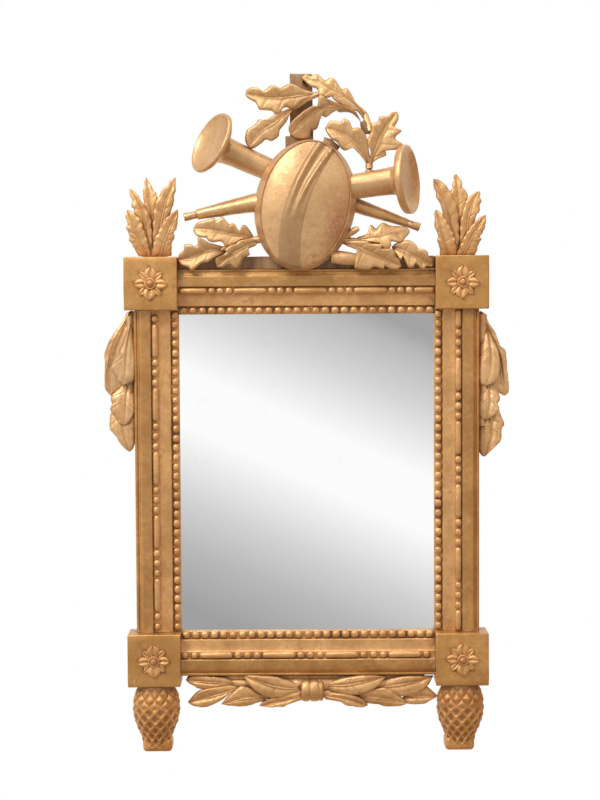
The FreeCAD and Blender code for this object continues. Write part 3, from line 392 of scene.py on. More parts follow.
def piece(name, bm, materials, nodes, sharp=None):
    """A shape worked in millimetres becomes a piece of the mirror in place of some CAD nodes."""
    name = "carved_" + name.replace(" ", "_").replace("-", "_")
    bmesh.ops.scale(bm, vec=(MM, MM, MM), verts=bm.verts)
    mesh = bpy.data.meshes.new(name)
    bm.to_mesh(mesh)
    bm.free()
    mesh.shade_smooth()
    if sharp:
        mesh.set_sharp_from_angle(angle=math.radians(sharp))
    for material in materials:
        mesh.materials.append(material)
    made = bpy.data.objects.new(name, mesh)
    scene.collection.objects.link(made)
    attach(made, "mirror")
    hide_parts(*nodes)
    pieces.append(made)
    print(f"{name}: {len(mesh.polygons)} faces")
    return made


def basis(along, facing, place):
    """A matrix with X along `along`, Z as near `facing` as can be, and its origin at `place`."""
    x = Vector(along).normalized()
    z = Vector(facing)
    z = (z - x * z.dot(x)).normalized()
    y = z.cross(x)
    turn = Matrix((x, y, z)).transposed().to_4x4()
    return Matrix.Translation(place) @ turn


def curve_through(points, steps):
    """Points on a smooth curve through a few given ones (tuples of any length)."""
    guide = [Vector(p) for p in points]
    guide = [guide[0] * 2 - guide[1]] + guide + [guide[-1] * 2 - guide[-2]]
    made = []
    for a, b, c, d in zip(guide, guide[1:], guide[2:], guide[3:]):
        for i in range(steps):
            t = i / steps
            square, cube = a * 2 - b * 5 + c * 4 - d, b * 3 - a - c * 3 + d
            made.append((b * 2 + (c - a) * t + square * t * t + cube * t ** 3) / 2)
    return made + [guide[-2]]


def stem(bm, path, radii, sides=12, material=0):
    """A round stem: one disc carried along a path and pulled out at each step."""
    def place(i):
        ahead, behind = path[min(i + 1, len(path) - 1)], path[max(i - 1, 0)]
        across = UP.cross(ahead - behind)
        across = across if across.length > 1e-6 else Vector((1, 0, 0))
        return basis(across, ahead - behind, path[i]) @ Matrix.Scale(radii[i], 4)
    disc = bmesh.ops.create_circle(bm, cap_ends=True, segments=sides, radius=1.0, matrix=place(0))
    face = disc["verts"][0].link_faces[0]
    made = set(disc["verts"])
    for i in range(1, len(path)):
        pulled = bmesh.ops.extrude_discrete_faces(bm, faces=[face])
        face = pulled["faces"][0]
        bmesh.ops.transform(bm, matrix=place(i) @ place(i - 1).inverted(), verts=face.verts)
        made.update(face.verts)
    faces = {f for v in made for f in v.link_faces}
    for f in faces:
        f.material_index = material
    return list(made)


def spun(bm, outline, matrix, steps=48):
    """An outline of (radius, height) pairs spun round its axis, then put in place."""
    there = set(bm.verts)
    verts = [bm.verts.new((radius, 0, height)) for radius, height in outline]
    edges = [bm.edges.new(pair) for pair in zip(verts, verts[1:])]
    bmesh.ops.spin(bm, geom=verts + edges, axis=UP, cent=(0, 0, 0), angle=math.tau, steps=steps, use_merge=True)
    bmesh.ops.remove_doubles(bm, verts=[v for v in bm.verts if v not in there], dist=1e-4)
    ring = [v for v in bm.verts if v not in there]
    bmesh.ops.recalc_face_normals(bm, faces=list({f for v in ring for f in v.link_faces}))
    bmesh.ops.transform(bm, matrix=matrix, verts=ring)
    return ring


def carved_box(bm, low, high, soft, cuts, amount, segments=3):
    """A block with softened edges and a slightly uneven face."""
    low, high = Vector(low), Vector(high)
    size = high - low
    matrix = Matrix.Translation((low + high) / 2) @ Matrix.Diagonal((*size, 1))
    made = bmesh.ops.create_cube(bm, size=1.0, matrix=matrix)["verts"]
    edges = list({e for v in made for e in v.link_edges})
    bmesh.ops.bevel(bm, geom=edges, offset=soft, affect="EDGES", segments=segments, profile=0.5, material=-1)
    faces = [f for f in bm.faces if f.calc_area() > soft * soft * BROAD]
    inner = list({e for f in faces for e in f.edges})
    bmesh.ops.subdivide_edges(bm, edges=inner, cuts=cuts, use_grid_fill=True)
    for vert in bm.verts:
        vert.co += shake(vert.co, BOX_WAVE, amount)

# %% [markdown]
# The members are mouldings. A moulding is one outline drawn out along a length of wood, so the
# outline is drawn once and pulled along in short steps. From the outer edge inwards it has a small
# bead, a broad burnished band, a bed for a string of beads and rods, a matt field that slopes
# towards the glass and a bed for the pearls. The strings are cut by hand, so no two beads are
# quite alike, and the rods start at a different place on each side of the frame.

# %% Stiles and rails
SIGHT_W, SIGHT_H, MEMBER_W = 326.0, 413.0, 57.0
BACK = 9.0                     # from the wall to the back of the frame
TOP_DROP = 5.5                 # the top rail sits this much lower than the blocks' inner corners
BLOCK, BLOCK_FACE = 68.0, 55.0
HALF_W, HALF_H = SIGHT_W / 2, SIGHT_H / 2
LEDGE_TOP = HALF_H + BLOCK
BAND_END = 22.9                # the burnished part reaches in to here
BED_U, BED_V, ROD_R, BEAD_R, ROD_L = 27.0, 27.6, 4.4, 4.6, 43.3
PEARL_U, PEARL_V, PEARL_R, PEARL_PITCH = 52.0, 19.8, 4.7, 12.1

# (u in from the outer edge, v out from the back); arcs are written by their points
PROFILE = [(0, 0), (0, 26.4)]
PROFILE += [(2.2 - 2.2 * math.cos(a), 26.6 + 2.6 * math.sin(a)) for a in (0.5, 1.1, 1.6, 2.2, 2.8)]
PROFILE += [(4.6, 28.3), (5.4, 28.6), (6.6, 29.4), (7.2, 30.6), (8.4, 31.3), (9.4, 31.5)]
PROFILE += [(15, 31.7), (21.0, 31.5), (21.8, 30.8)]
PROFILE += [(22.0, 28.0), (22.8, 27.2), (31.2, 27.2), (31.9, 26.4), (32.8, 25.9), (39.5, 25.4), (45.8, 24.8)]
PROFILE += [(46.6, 24.0), (47.0, 20.2), (47.8, 19.5), (56.2, 19.5), (57, 18.8), (57, 15), (47, 15), (47, 0)]
# the top rail has a flat edge with one fine line in place of the small bead
TOP_PROFILE = [(0, 0), (0, 28.9), (0.7, 29.6), (2.3, 29.7), (2.8, 29.1), (3.3, 29.7), (6.0, 30.0)] + PROFILE[10:]


def moulding(bm, length, out, outline):
    """The outline pulled along the length, in steps short enough to be uneven."""
    corners = [bm.verts.new((-length / 2, -BACK - v, out - u)) for u, v in outline]
    section = bm.faces.new(corners)
    steps = round(length / 14)
    bmesh.ops.spin(bm, geom=[section], axis=(1, 0, 0), dvec=(length / steps, 0, 0), angle=0.0, steps=steps)
    for face in bm.faces:
        middle = face.calc_center_median()
        face.material_index = 1 if out - middle.z < BAND_END or middle.y > -BACK - 14 else 0
    for vert in bm.verts:
        u = out - vert.co.z
        if abs(vert.co.x) < length / 2 - 1 and vert.co.y < -BACK - 16 and 1 < u < 56:
            vert.co += shake(vert.co + Vector((out, 0, 0)), 26.0, 0.32)


def bead(bm, place, radius, chance, material):
    """One hand-cut bead: a coarse ball, pressed a little square, longer than it is broad."""
    upright = Matrix.Rotation(math.pi / 2, 4, "X")
    made = bmesh.ops.create_uvsphere(bm, u_segments=10, v_segments=6, radius=1.0, matrix=upright)
    sizes = [radius * chance.uniform(low, high) for low, high in ((1.12, 1.2), (0.94, 1.02), (0.98, 1.06))]
    for vert in made["verts"]:
        squared = [size * math.copysign(abs(c) ** 0.8, c) for size, c in zip(sizes, vert.co)]
        vert.co = Vector(place) + Vector(squared)
    for face in {f for v in made["verts"] for f in v.link_faces}:
        face.material_index = material


def strings(bm, length, out, first, period, lead, chance):
    """Pearls beside the glass, then rods with three beads after each; the first rod starts at `first`."""
    half = length / 2
    count = round(length / PEARL_PITCH)
    for i in range(count):
        l = -half + length / count * (i + 0.5) + chance.uniform(-0.3, 0.3)
        bead(bm, (l, -BACK - PEARL_V, out - PEARL_U), PEARL_R * chance.uniform(0.93, 1.03), chance, 2)
    pitch = (period - ROD_L) / 3
    spots = [first - pitch * (i + 0.5) for i in range(lead)]
    start = first
    while start < half:
        a, b = max(start, -half), min(start + ROD_L, half)
        if b - a > 6:
            stops = (a + 0.4, a + 1.6, a + 4, (a + b) / 2, b - 4, b - 1.6, b - 0.4)
            path = [Vector((l, -BACK - BED_V, out - BED_U)) for l in stops]
            stem(bm, path, [ROD_R * share for share in (0.5, 0.86, 1.0, 1.02, 1.0, 0.86, 0.5)], 12, 2)
        spots += [start + ROD_L + pitch * (i + 0.5) for i in range(3)]
        start += period
    for l in spots:
        if abs(l) < half - 3.5:
            bead(bm, (l, -BACK - BED_V, out - BED_U), BEAD_R * chance.uniform(0.94, 1.02), chance, 2)


# name: length, distance from the middle to the outer edge, turn, first rod, period, beads before the first rod
MEMBERS = {
    "top_rail": (SIGHT_W, HALF_H + MEMBER_W - TOP_DROP, 0, -169.3, 76.4, 0),
    "right_stile": (SIGHT_H, HALF_W + MEMBER_W, 90, -226.0, 81.0, 0),
    "bottom_rail": (SIGHT_W, HALF_H + MEMBER_W, 180, -146.0, 80.9, 2),
    "left_stile": (SIGHT_H, HALF_W + MEMBER_W, 270, -179.7, 81.5, 2),
}
for number, (name, (length, out, degrees, first, period, lead)) in enumerate(MEMBERS.items()):
    bm = bmesh.new()
    moulding(bm, length, out, TOP_PROFILE if name == "top_rail" else PROFILE)
    strings(bm, length, out, first, period, lead, random.Random(number))
    bmesh.ops.rotate(bm, matrix=Matrix.Rotation(math.radians(degrees), 3, "Y"), verts=bm.verts)
    bmesh.ops.recalc_face_normals(bm, faces=bm.faces)
    piece(name.replace("_", " "), bm, [matt_gold, burnished_gold, side_gold], [name], sharp=38)

# %% [markdown]
# Square blocks cover the corner joints. Thick gesso has softened their edges and left their faces
# slightly wavy, so each block is a cube with rounded edges, cut into a fine grid and pushed a few
# tenths of a millimetre out of true. A rosette is carved on each: four broad petals, each creased
# along its middle, over four narrow ones, round a button in a ring.

# %% Corner blocks and rosettes
PETAL_IN = 4.0                 # where a petal starts, from the middle of its rosette
BLOCK_SOFT, BLOCK_CUTS, BLOCK_WAVE = 1.3, 9, 0.35
SIDES = {"left": -1, "right": 1}
LEVELS = {"top": 1, "bottom": -1}


def shell(bm, grid, back):
    """A sheet given a back: pulled out into a closed shell whose faces look outwards."""
    bmesh.ops.remove_doubles(bm, verts=grid, dist=0.01)
    front = list({f for v in grid if v.is_valid for f in v.link_faces})
    pulled = bmesh.ops.extrude_face_region(bm, geom=front)["geom"]
    moved = [v for v in pulled if isinstance(v, bmesh.types.BMVert)]
    bmesh.ops.translate(bm, vec=back, verts=moved)
    faces = list({f for v in moved for f in v.link_faces} | {f for f in front if f.is_valid})
    bmesh.ops.recalc_face_normals(bm, faces=faces)
    if sum(f.calc_center_median().dot(f.normal) * f.calc_area() for f in faces) < 0:
        bmesh.ops.reverse_faces(bm, faces=faces)


def petal(bm, reach, width, rise, turn, crease):
    """A petal: a small grid that swells and comes to a point, with a deep crease between two full halves."""
    grid = bmesh.ops.create_grid(bm, x_segments=14, y_segments=12, size=0.5)["verts"]
    for vert in grid:
        t, s = vert.co.x + 0.5, vert.co.y * 2
        a = abs(s)
        broad = math.sin(math.pi * (0.14 + 0.86 * t) ** 1.25) ** 0.75 if t < 1 else 0.0
        height = rise * (0.35 + 1.5 * t - 1.2 * t * t) + 2.4 * a * (1 - a)
        height -= crease * math.exp(-(a / 0.2) ** 2)
        height -= 1.2 * a ** 4
        vert.co = Vector((PETAL_IN + (reach - PETAL_IN) * t, s * width / 2 * broad, height))
    bmesh.ops.rotate(bm, matrix=Matrix.Rotation(turn, 3, "Z"), verts=grid)
    shell(bm, grid, (0, 0, -3.0))


def rosette(bm, chance):
    """Four broad petals over four narrow ones, round a button in a ring."""
    for quarter in range(4):
        wag = math.radians(chance.uniform(-5, 5))
        petal(bm, 20.4 * chance.uniform(0.95, 1.03), 9.5, 3.0, math.pi / 2 * (quarter + 0.5) + wag, 1.2)
        petal(bm, 21.4 * chance.uniform(0.95, 1.02), (13.0, 16.5)[quarter % 2], 4.6,
              math.pi / 2 * quarter + wag, 2.0)
    button = [(0.0, 9.4), (2.2, 9.0), (3.8, 7.6), (4.4, 5.4), (4.9, 4.6)]
    button += [(6.2, 5.6), (7.2, 5.0), (7.6, 2.0), (7.6, -1.0)]
    spun(bm, curve_through(button, 3), Matrix.Identity(4), 24)
    red = bm.verts.layers.float.new("red")
    for vert in bm.verts:
        vert[red] = 0.75 if math.hypot(vert.co.x, vert.co.y) < 4.6 and vert.co.z > 4.5 else 0.0


for number, (level, up) in enumerate(LEVELS.items()):
    for side, right in SIDES.items():
        centre = Vector((right * (HALF_W + BLOCK / 2), 0, up * (HALF_H + BLOCK / 2)))
        half = Vector((BLOCK / 2 - 0.3, 0, BLOCK / 2 - 0.3))
        near, far = Vector((0, -BLOCK_FACE + 0.4, 0)), Vector((0, -BACK, 0))
        bm = bmesh.new()
        carved_box(bm, centre - half + near, centre + half + far, BLOCK_SOFT, BLOCK_CUTS, BLOCK_WAVE)
        piece(f"corner block {level} {side}", bm, [block_gold], [f"corner_block_{level}_{side}"])
        bm = bmesh.new()
        rosette(bm, random.Random(10 * number + right))
        on_face = basis((1, 0, 0), FRONT, centre + near + Vector((0, 0.4, 0)))
        bmesh.ops.transform(bm, matrix=on_face, verts=bm.verts)
        piece(f"rosette {level} {side}", bm, [matt_gold], [f"rosette_{level}_{side}"])

# %% [markdown]
# Every leaf on the mirror is worked in the same way. A carver draws the leaf on the board first: its
# rib, and an edge on either side with a point for each lobe and each notch. A grid is stretched
# between the three lines. Most leaves are hollow: the edges stand higher than the rib, so the light
# catches one half and misses the other. The whole leaf bows away from the board between its stem and
# its tip. Last, the sheet is given the thickness of carved wood.

# %% A leaf
STEPS, COLUMNS, LEAF_T = 84, 18, 3.8


def even_line(points, count):
    """Points at even distances along a smooth curve through a few given ones."""
    line = curve_through(points, 6)
    far = [0.0]
    for a, b in zip(line, line[1:]):
        far.append(far[-1] + (b - a).length)
    made, k = [], 0
    for i in range(count + 1):
        want = far[-1] * i / count
        while k < len(line) - 2 and far[k + 1] < want:
            k += 1
        made.append(line[k].lerp(line[k + 1], (want - far[k]) / max(far[k + 1] - far[k], 1e-9)))
    return made


def lobes_of(rib, edge):
    """Along an edge: how far it stands out (more than 0 in a lobe, less in a notch), and a vein for each lobe."""
    wide = [(a - b).length for a, b in zip(rib, edge)]
    rise, crowns = [], []
    for i, w in enumerate(wide):
        near = wide[max(0, i - 10):i + 11]
        mean = sum(near) / len(near)
        rise.append(max(-0.35, min(0.35, (w - mean) / (mean + 3.0))))
        if 6 < i < STEPS - 5 and w == max(wide[i - 4:i + 5]) and w > 4:
            crowns.append(i)
    veins = [max([math.exp(-((i - c) / 1.1) ** 2) for c in crowns], default=0.0) for i in range(len(wide))]
    return rise, veins


def leaf(bm, anchor, depth, rib, one, other, swell, ribs, stalked, frill):
    """A leaf drawn by its rib and edges (x, z); depth says how far out its stem, middle and tip stand, then its
    two edges, and how much painted shade it carries, if any."""
    *depth, fold_one, fold_other, shade = depth if len(depth) == 6 else (*depth, 0.0)
    fold = {-1: fold_one, 1: fold_other}
    groove = bm.verts.layers.float.get("groove") or bm.verts.layers.float.new("groove")
    spine = even_line(rib, 2 * STEPS)
    spine = [spine[round(2 * i - 12 * math.sin(math.pi * i / STEPS))] for i in range(STEPS + 1)]
    foot = [rib[0]] if stalked else []
    edges = {-1: even_line([*foot, *one, rib[-1]], STEPS), 1: even_line([*foot, *other, rib[-1]], STEPS)}
    lobes = {side: lobes_of(spine, edge) for side, edge in edges.items()}
    bow = 2 * depth[1] - (depth[0] + depth[2]) / 2
    grid = bmesh.ops.create_grid(bm, x_segments=STEPS, y_segments=COLUMNS, size=0.5)["verts"]
    for vert in grid:
        t, s = vert.co.x + 0.5, vert.co.y * 2
        i, side = round(t * STEPS), (1 if s > 0 else -1)
        a = abs(s) ** 1.35
        rise, veins = lobes[side][0][i], lobes[side][1][i] * min(1.0, 6 * a) * (1 - a ** 3)
        notch = frill * (0.5 + 0.5 * math.cos(math.tau * 7.5 * t + side)) * min(1.0, 5 * t, 6 * (1 - t))
        flat = spine[i].lerp(edges[side][i], a * (1 - 0.10 * notch * a * a))
        out = depth[0] * (1 - t) ** 2 + bow * 2 * t * (1 - t) + depth[2] * t * t
        beside = math.exp(-((a - 0.10) / 0.06) ** 2) * (1 - t) ** 0.3
        high = swell * (2 * a * (1 - a) - 0.4 * a * a)
        high += fold[side] * min(1.0, 4 * t, 5 * (1 - t)) * a * (1 - 0.2 * a ** 3)
        high += (3.5 if stalked else 1.6) * rise * a * a - 0.45 * veins - 0.8 * beside - 1.5 * notch * a ** 3
        midrib = 0.9 * math.exp(-(a / 0.05) ** 2) * (1 - t) ** 0.4
        high += midrib + ribs * math.cos(14.0 * a) * math.sin(math.pi * t)
        high -= 1.5 * max(0.0, (a - 0.86) / 0.14) ** 2
        vert.co = anchor + Vector((flat.x, out - high, flat.y)) + shake(Vector((flat.x, t, flat.y)), 8.0, 0.4)
        # painted shade: the shade number darkens the whole leaf; veins, the grooves beside the midrib and the
        # notches darken as dirt and painted shade
        vert[groove] = max(shade, 0.55 * veins, 0.7 * beside, 0.6 * max(0.0, -4 * rise * a * a))
    shell(bm, grid, (0, LEAF_T, 0))


def carving(name, node, anchor, leaves, stems, gold, swell=1.3, ribs=0.0, stalked=True, frill=0.0):
    """Leaves and stems, worked around an anchor point, as one piece."""
    bm = bmesh.new()
    anchor = Vector(anchor)
    for depth, rib, one, other in leaves:
        leaf(bm, anchor, depth, rib, one, other, swell, ribs, stalked, frill)
    for path, radii in stems:
        guide = curve_through([anchor + Vector(p) for p in path], 6)
        sizes = [r[0] for r in curve_through([(r, 0) for r in radii], 6)]
        made = stem(bm, guide, sizes, 14)
        bmesh.ops.recalc_face_normals(bm, faces=list({f for v in made for f in v.link_faces}))
    return piece(name, bm, [gold], [node], sharp=70)


# %% [markdown]
# These are the drawings, measured from the corner or edge that each carving hangs on. Each leaf has
# its depths (stem, middle, tip) and the lift of its two edges (and its painted shade, if any), then its
# rib, then its two edges, from stem to tip.

# %% The drawings of the leaves
UPPER_LEFT = [
    ((-35, -42, -38, 3.5, 2.5), [(16, 204), (-7, 201.5), (-32, 198), (-54.5, 199.5), (-76, 204.5)],
     [(11, 206), (-3, 210), (-12, 215), (-19.5, 217), (-28, 213), (-32, 211), (-38, 214.5),
      (-44.5, 214), (-49.5, 209.5), (-54.5, 208), (-59.5, 211.5), (-67, 212.5), (-73.5, 210)],
     [(11, 201.5), (-4.5, 195), (-12, 187.5), (-18, 185), (-24.5, 187.5), (-28.5, 186), (-31, 182.5),
      (-34.5, 178.5), (-39.5, 179.5), (-43.5, 183), (-57.5, 184.5), (-61, 190), (-63.5, 194),
      (-68.5, 197), (-73.5, 200)]),
    ((-35, -40, -45, 3.5, 0.5, 0.32), [(11, 202.5), (-7, 191.5), (-23.5, 180), (-38.5, 167.5),
      (-55, 156.5), (-71.5, 136.5)],
     [(-5.5, 194.5), (-19.5, 186.5), (-36, 180), (-48.5, 172.5), (-58.5, 172), (-62.5, 167),
      (-70, 161.5), (-74.5, 158), (-76.5, 145.5)],
     [(-4.5, 189), (-18.5, 181.5), (-22.5, 172.5), (-28.5, 164), (-32.5, 159), (-34, 151.5),
      (-38.5, 147.5), (-43.5, 145), (-50, 147), (-56.5, 142), (-65.5, 136)]),
]
UPPER_RIGHT = [
    ((-37, -42, -36, -1.5, 0.5), [(77.5, 169.5), (69, 184.5), (53.5, 198.5), (37.5, 208.5),
      (16, 218.5), (-5, 225.5)],
     [(80.5, 172), (76.5, 182), (64, 193), (57, 206), (52, 211.5), (46, 210), (38, 221.5), (31, 224),
      (25, 221), (19, 226.5), (13.5, 229), (7, 226.5), (1, 229)],
     [(74, 172), (65, 182.5), (58.5, 182.5), (53.5, 186.5), (46, 190), (35, 197), (33.5, 201.5),
      (31, 199.5), (23.5, 199), (17, 202), (15.5, 208.5), (13.5, 211), (6, 214), (-1.5, 221)]),
    ((-36, -40, -37, 6, -4, 0.4), [(71.5, 167), (61.5, 179), (43.5, 186), (23.5, 187), (2, 175),
      (-18.5, 152.5)],
     [(64, 181), (56, 186), (46, 190), (31, 196), (18.5, 202), (16, 196), (14.5, 188.5), (8.5, 188.5),
      (-3, 182), (-12, 174.5), (-19.5, 167), (-21.5, 160)],
     [(66.5, 173.5), (56, 181), (43.5, 181.5), (37.5, 184), (31, 178.5), (26, 175), (19.5, 177),
      (17, 166), (13, 159.5), (7, 158.5), (3, 148), (-11, 148)]),
]
RIGHT = [
    ((-42, -48, -46, 5.5, 5, 0.15), [(79.5, 105), (76, 122.5), (63.5, 140), (46, 152.5), (24.5, 161)],
     [(82, 120), (79.5, 132.5), (75.5, 151.5), (67, 160.5), (59, 160), (56, 167), (48.5, 172),
      (44.5, 167.5), (36, 169.5), (29.5, 168)],
     [(78.5, 107.5), (73.5, 120), (66, 129), (58.5, 136), (51, 132), (44.5, 134.5), (39.5, 142.5),
      (32, 147), (26.5, 155.5)]),
    ((-42, -50, -47, 3, 3), [(81, 102.5), (84.5, 122.5), (92.5, 142.5), (102.5, 161), (115, 180.5)],
     [(79.5, 113.5), (82, 130), (77, 142.5), (82, 156), (83, 166), (91, 167.5), (93, 174),
      (100, 174.5), (105, 176), (108.5, 179.5)],
     [(83.5, 110), (87, 120), (101.5, 125.5), (101, 131.5), (116, 133), (122.5, 138.5), (112.5, 147),
      (121, 156), (112.5, 161), (116, 168.5), (117.5, 174.5)]),
]
LOWER_LEFT = [
    ((-42, -51, -46, 4, 5.5), [(-65.5, 23), (-83.5, 25.5), (-102.5, 28.5), (-121, 33), (-142.5, 35)],
     [(-68, 28), (-72, 34), (-75.5, 38.5), (-81, 39), (-84.5, 32.5), (-89.5, 40), (-93.5, 41.5),
      (-97, 40.5), (-103, 47.5), (-106, 49.5), (-113, 45.5), (-116, 48), (-127.5, 45), (-133.5, 44),
      (-139.5, 40.5)],
     [(-73.5, 21.5), (-83.5, 20.5), (-90, 15.5), (-101, 12.5), (-107, 18.5), (-117.5, 17.5),
      (-124, 20), (-126.5, 23), (-136.5, 25), (-141.5, 30.5)]),
    ((-42, -49, -44, 6, 5, 0.15), [(-101, 6.5), (-115, 8), (-130.5, 3.5), (-144.5, -2), (-163, -4.5)],
     [(-106.5, 13), (-121.5, 17), (-130, 21.5), (-136.5, 24), (-137, 15.5), (-141, 13),
      (-146.5, 15.5), (-153.5, 15), (-154.5, 8), (-160.5, 3)],
     [(-104, 3), (-116.5, -2.5), (-124, -7), (-131.5, -8.5), (-140.5, -15), (-145.5, -17.5),
      (-150, -14), (-159.5, -10)]),
    ((-46, -54, -50, 5, 0, 0.3), [(-62, 20), (-74.5, 12.5), (-88.5, 5), (-101, -3.5), (-112.5, -14)],
     [(-70.5, 22), (-83.5, 20), (-88.5, 16), (-97, 13), (-102.5, 8), (-100.5, 4), (-112.5, -2),
      (-114.5, -7)],
     [(-63, 14), (-71.5, 10), (-72.5, 6.5), (-71.5, 1.5), (-79.5, -3), (-83, -11), (-88.5, -15.5),
      (-95, -10.5), (-100, -11), (-106, -14)]),
]
LOWER_RIGHT = [
    ((-41, -50, -45, -4, 4), [(55.5, 19), (74.5, 22), (93, 25.5), (112, 28), (131.5, 30.5)],
     [(68, 24.5), (78, 28.5), (80, 36.5), (83, 39), (87, 35), (89.5, 35), (97, 41.5), (106, 38),
      (118.5, 37), (127.5, 35.5)],
     [(68, 18.5), (79.5, 17.5), (89.5, 15), (97.5, 13), (97, 8), (102, 7), (107.5, 12), (107.5, 17.5),
      (119.5, 16), (125.5, 22), (130, 27)]),
    ((-46, -54, -50, 5, 2), [(44, 17), (61.5, 12), (80.5, 3), (99, -6), (120.5, -14)],
     [(55, 19), (78, 18), (80.5, 15), (95.5, 13.5), (95, 8.5), (105.5, 8.5), (111, 5.5), (113, -1),
      (118, -6)],
     [(51.5, 12.5), (64, 7), (68, 0.5), (62.5, -3), (61, -12), (62.5, -16.5), (79, -17.5),
      (85.5, -14.5), (97.5, -17), (98.5, -13.5), (105.5, -16.5), (114.5, -18)]),
    ((-42, -50, -45, 5, 6), [(108.5, 10.5), (122, 5.5), (135, -1), (148.5, -7.5), (161.5, -11.5)],
     [(113.5, 15.5), (124.5, 18.5), (131.5, 18.5), (138.5, 13.5), (141, 9), (147.5, 8), (153, 4.5),
      (154.5, -1), (160, -6)],
     [(111, 5.5), (114, -1), (119.5, -6), (122, -2), (128.5, -14.5), (135, -15.5), (138.5, -11),
      (147.5, -18), (152.5, -14), (159, -15)]),
]
FINIAL_LEFT = [
    ((-1, -5, 0, 1, 1), [(4, 21.5), (-0.5, 62), (-5.5, 101)],
     [(-3.5, 34), (-9.5, 75.5), (-10, 84.5), (-7.5, 89.5), (-8, 96)],
     [(12, 34), (8.5, 78), (4.5, 83), (2, 89.5), (-1.5, 94.5)]),
    ((-3, -8, -5, 0, 3), [(-3.5, 2.5), (-10.5, 54), (-18, 72), (-25.5, 86.5)],
     [(-12.5, 3.5), (-20.5, 56.5), (-24.5, 63), (-23.5, 72), (-26, 77), (-26.5, 83)],
     [(3, 3.5), (1.5, 44), (-3.5, 59), (-8, 66.5), (-13, 73), (-15, 77.5), (-20.5, 83)]),
    ((-3, -8, -4, 3, 0), [(8, 2.5), (17.5, 59), (26.5, 84), (31.5, 100.5)],
     [(1.5, 3.5), (2.5, 44), (6, 68), (13.5, 81.5), (16.5, 87), (22.5, 90), (24, 95), (28, 98)],
     [(17, 3.5), (26, 57.5), (29.5, 65.5), (30, 76.5), (32.5, 84), (32, 91.5)]),
    ((-7, -13, -11, 0, 3.5), [(-4.5, -0.5), (-15.5, 25), (-25.5, 47.5), (-29, 59.5)],
     [(-16, 1), (-23, 13.5), (-27.5, 21.5), (-27, 27.5), (-30.5, 35), (-29, 42.5), (-31.5, 50)],
     [(0.5, 1), (-3, 18.5), (-8, 35), (-10.5, 45), (-16.5, 52.5), (-23, 57)]),
    ((-7, -13, -11, 3.5, 0), [(12, -0.5), (21, 25), (30, 46), (34.5, 59.5)],
     [(-0.5, 1), (4.5, 21), (12.5, 37.5), (19, 47.5), (25, 53.5), (30.5, 57)],
     [(26, 1), (27.5, 18.5), (30.5, 23.5), (30, 31), (33.5, 36), (35.5, 52.5)]),
]
FINIAL_RIGHT = [
    ((-1, -5, 0, 1, 1), [(-4, 19.5), (-4, 63.5), (-6.5, 103.5)],
     [(-12, 29.5), (-14.5, 79), (-10.5, 85), (-12, 90), (-8.5, 95), (-9.5, 100)],
     [(3.5, 29.5), (8.5, 75), (5.5, 82.5), (2, 86), (1, 94)]),
    ((-3, -8, -4, 0, 3), [(-9.5, -1), (-16, 51), (-26, 76), (-35, 97)],
     [(-18.5, 1.5), (-24.5, 56), (-28.5, 67.5), (-31.5, 73.5), (-32.5, 81), (-35, 86)],
     [(-2, 1.5), (-3, 44.5), (-7, 66), (-14.5, 82.5), (-22, 91), (-27, 95)]),
    ((-3, -8, -5, 3, 0), [(4.5, -1), (10.5, 53.5), (22, 81)],
     [(-3, 1.5), (-2, 40.5), (2, 58.5), (5.5, 68.5), (10.5, 74.5), (17, 79.5)],
     [(12, 1.5), (18.5, 48), (23.5, 54.5), (23.5, 62), (26, 68.5), (23.5, 73.5), (24.5, 78.5)]),
    ((-7, -13, -11, 0, 3.5), [(-16.5, -3.5), (-24, 23), (-32.5, 57.5)],
     [(-27.5, -2), (-27.5, 8), (-31, 18), (-30, 25.5), (-34.5, 37), (-34, 45.5), (-34.5, 53.5)],
     [(-5, -1), (-8.5, 21.5), (-14, 34.5), (-20, 45.5), (-27.5, 54.5)]),
    ((-7, -13, -11, 3.5, 0), [(1.5, -3.5), (13, 21.5), (30.5, 51)],
     [(-7.5, -1), (0, 18), (7.5, 31.5), (15.5, 41.5), (24, 48.5)],
     [(15.5, -3.5), (20.5, 7.5), (21, 12.5), (25, 19), (24, 24), (28.5, 31.5), (31, 44)]),
]
DROP_LEFT = [
    ((-12, -17, -13, 2, 0), [(-4, 0), (-25, -44), (-34.5, -76), (-31.5, -110)],
     [(-10.5, -3), (-19.5, -19.5), (-31.5, -36), (-39, -55.5), (-38.5, -65.5), (-39, -81), (-39, -99)],
     [(2, -3), (-0.5, -25), (-6, -63), (-11.5, -94), (-24.5, -104)]),
    ((-20, -29, -30, -2, 1, 0.4), [(-4.5, -17), (-11, -52.5), (-13, -95)],
     [(-13.5, -34.5), (-20, -52.5), (-30.5, -74), (-23, -83), (-20, -90.5)],
     [(1, -35), (0.5, -83), (-5.5, -92)]),
    ((-14, -21, -18, 1, 1), [(-10, -88.5), (-14, -119.5), (-13.5, -147.5)],
     [(-19, -97.5), (-31, -110), (-30, -119), (-32, -128), (-23, -138.5), (-20.5, -144.5)],
     [(-1, -97.5), (-0.5, -129.5), (-5, -140)]),
    ((-11, -17, -15, 0, 1, 0.22), [(-19.5, -124.5), (-17.5, -153), (-8.5, -181.5)],
     [(-33, -132.5), (-33.5, -150.5), (-25, -162), (-21.5, -168.5), (-15.5, -175.5)],
     [(-1.5, -137.5), (-1, -167), (-3.5, -177.5)]),
]
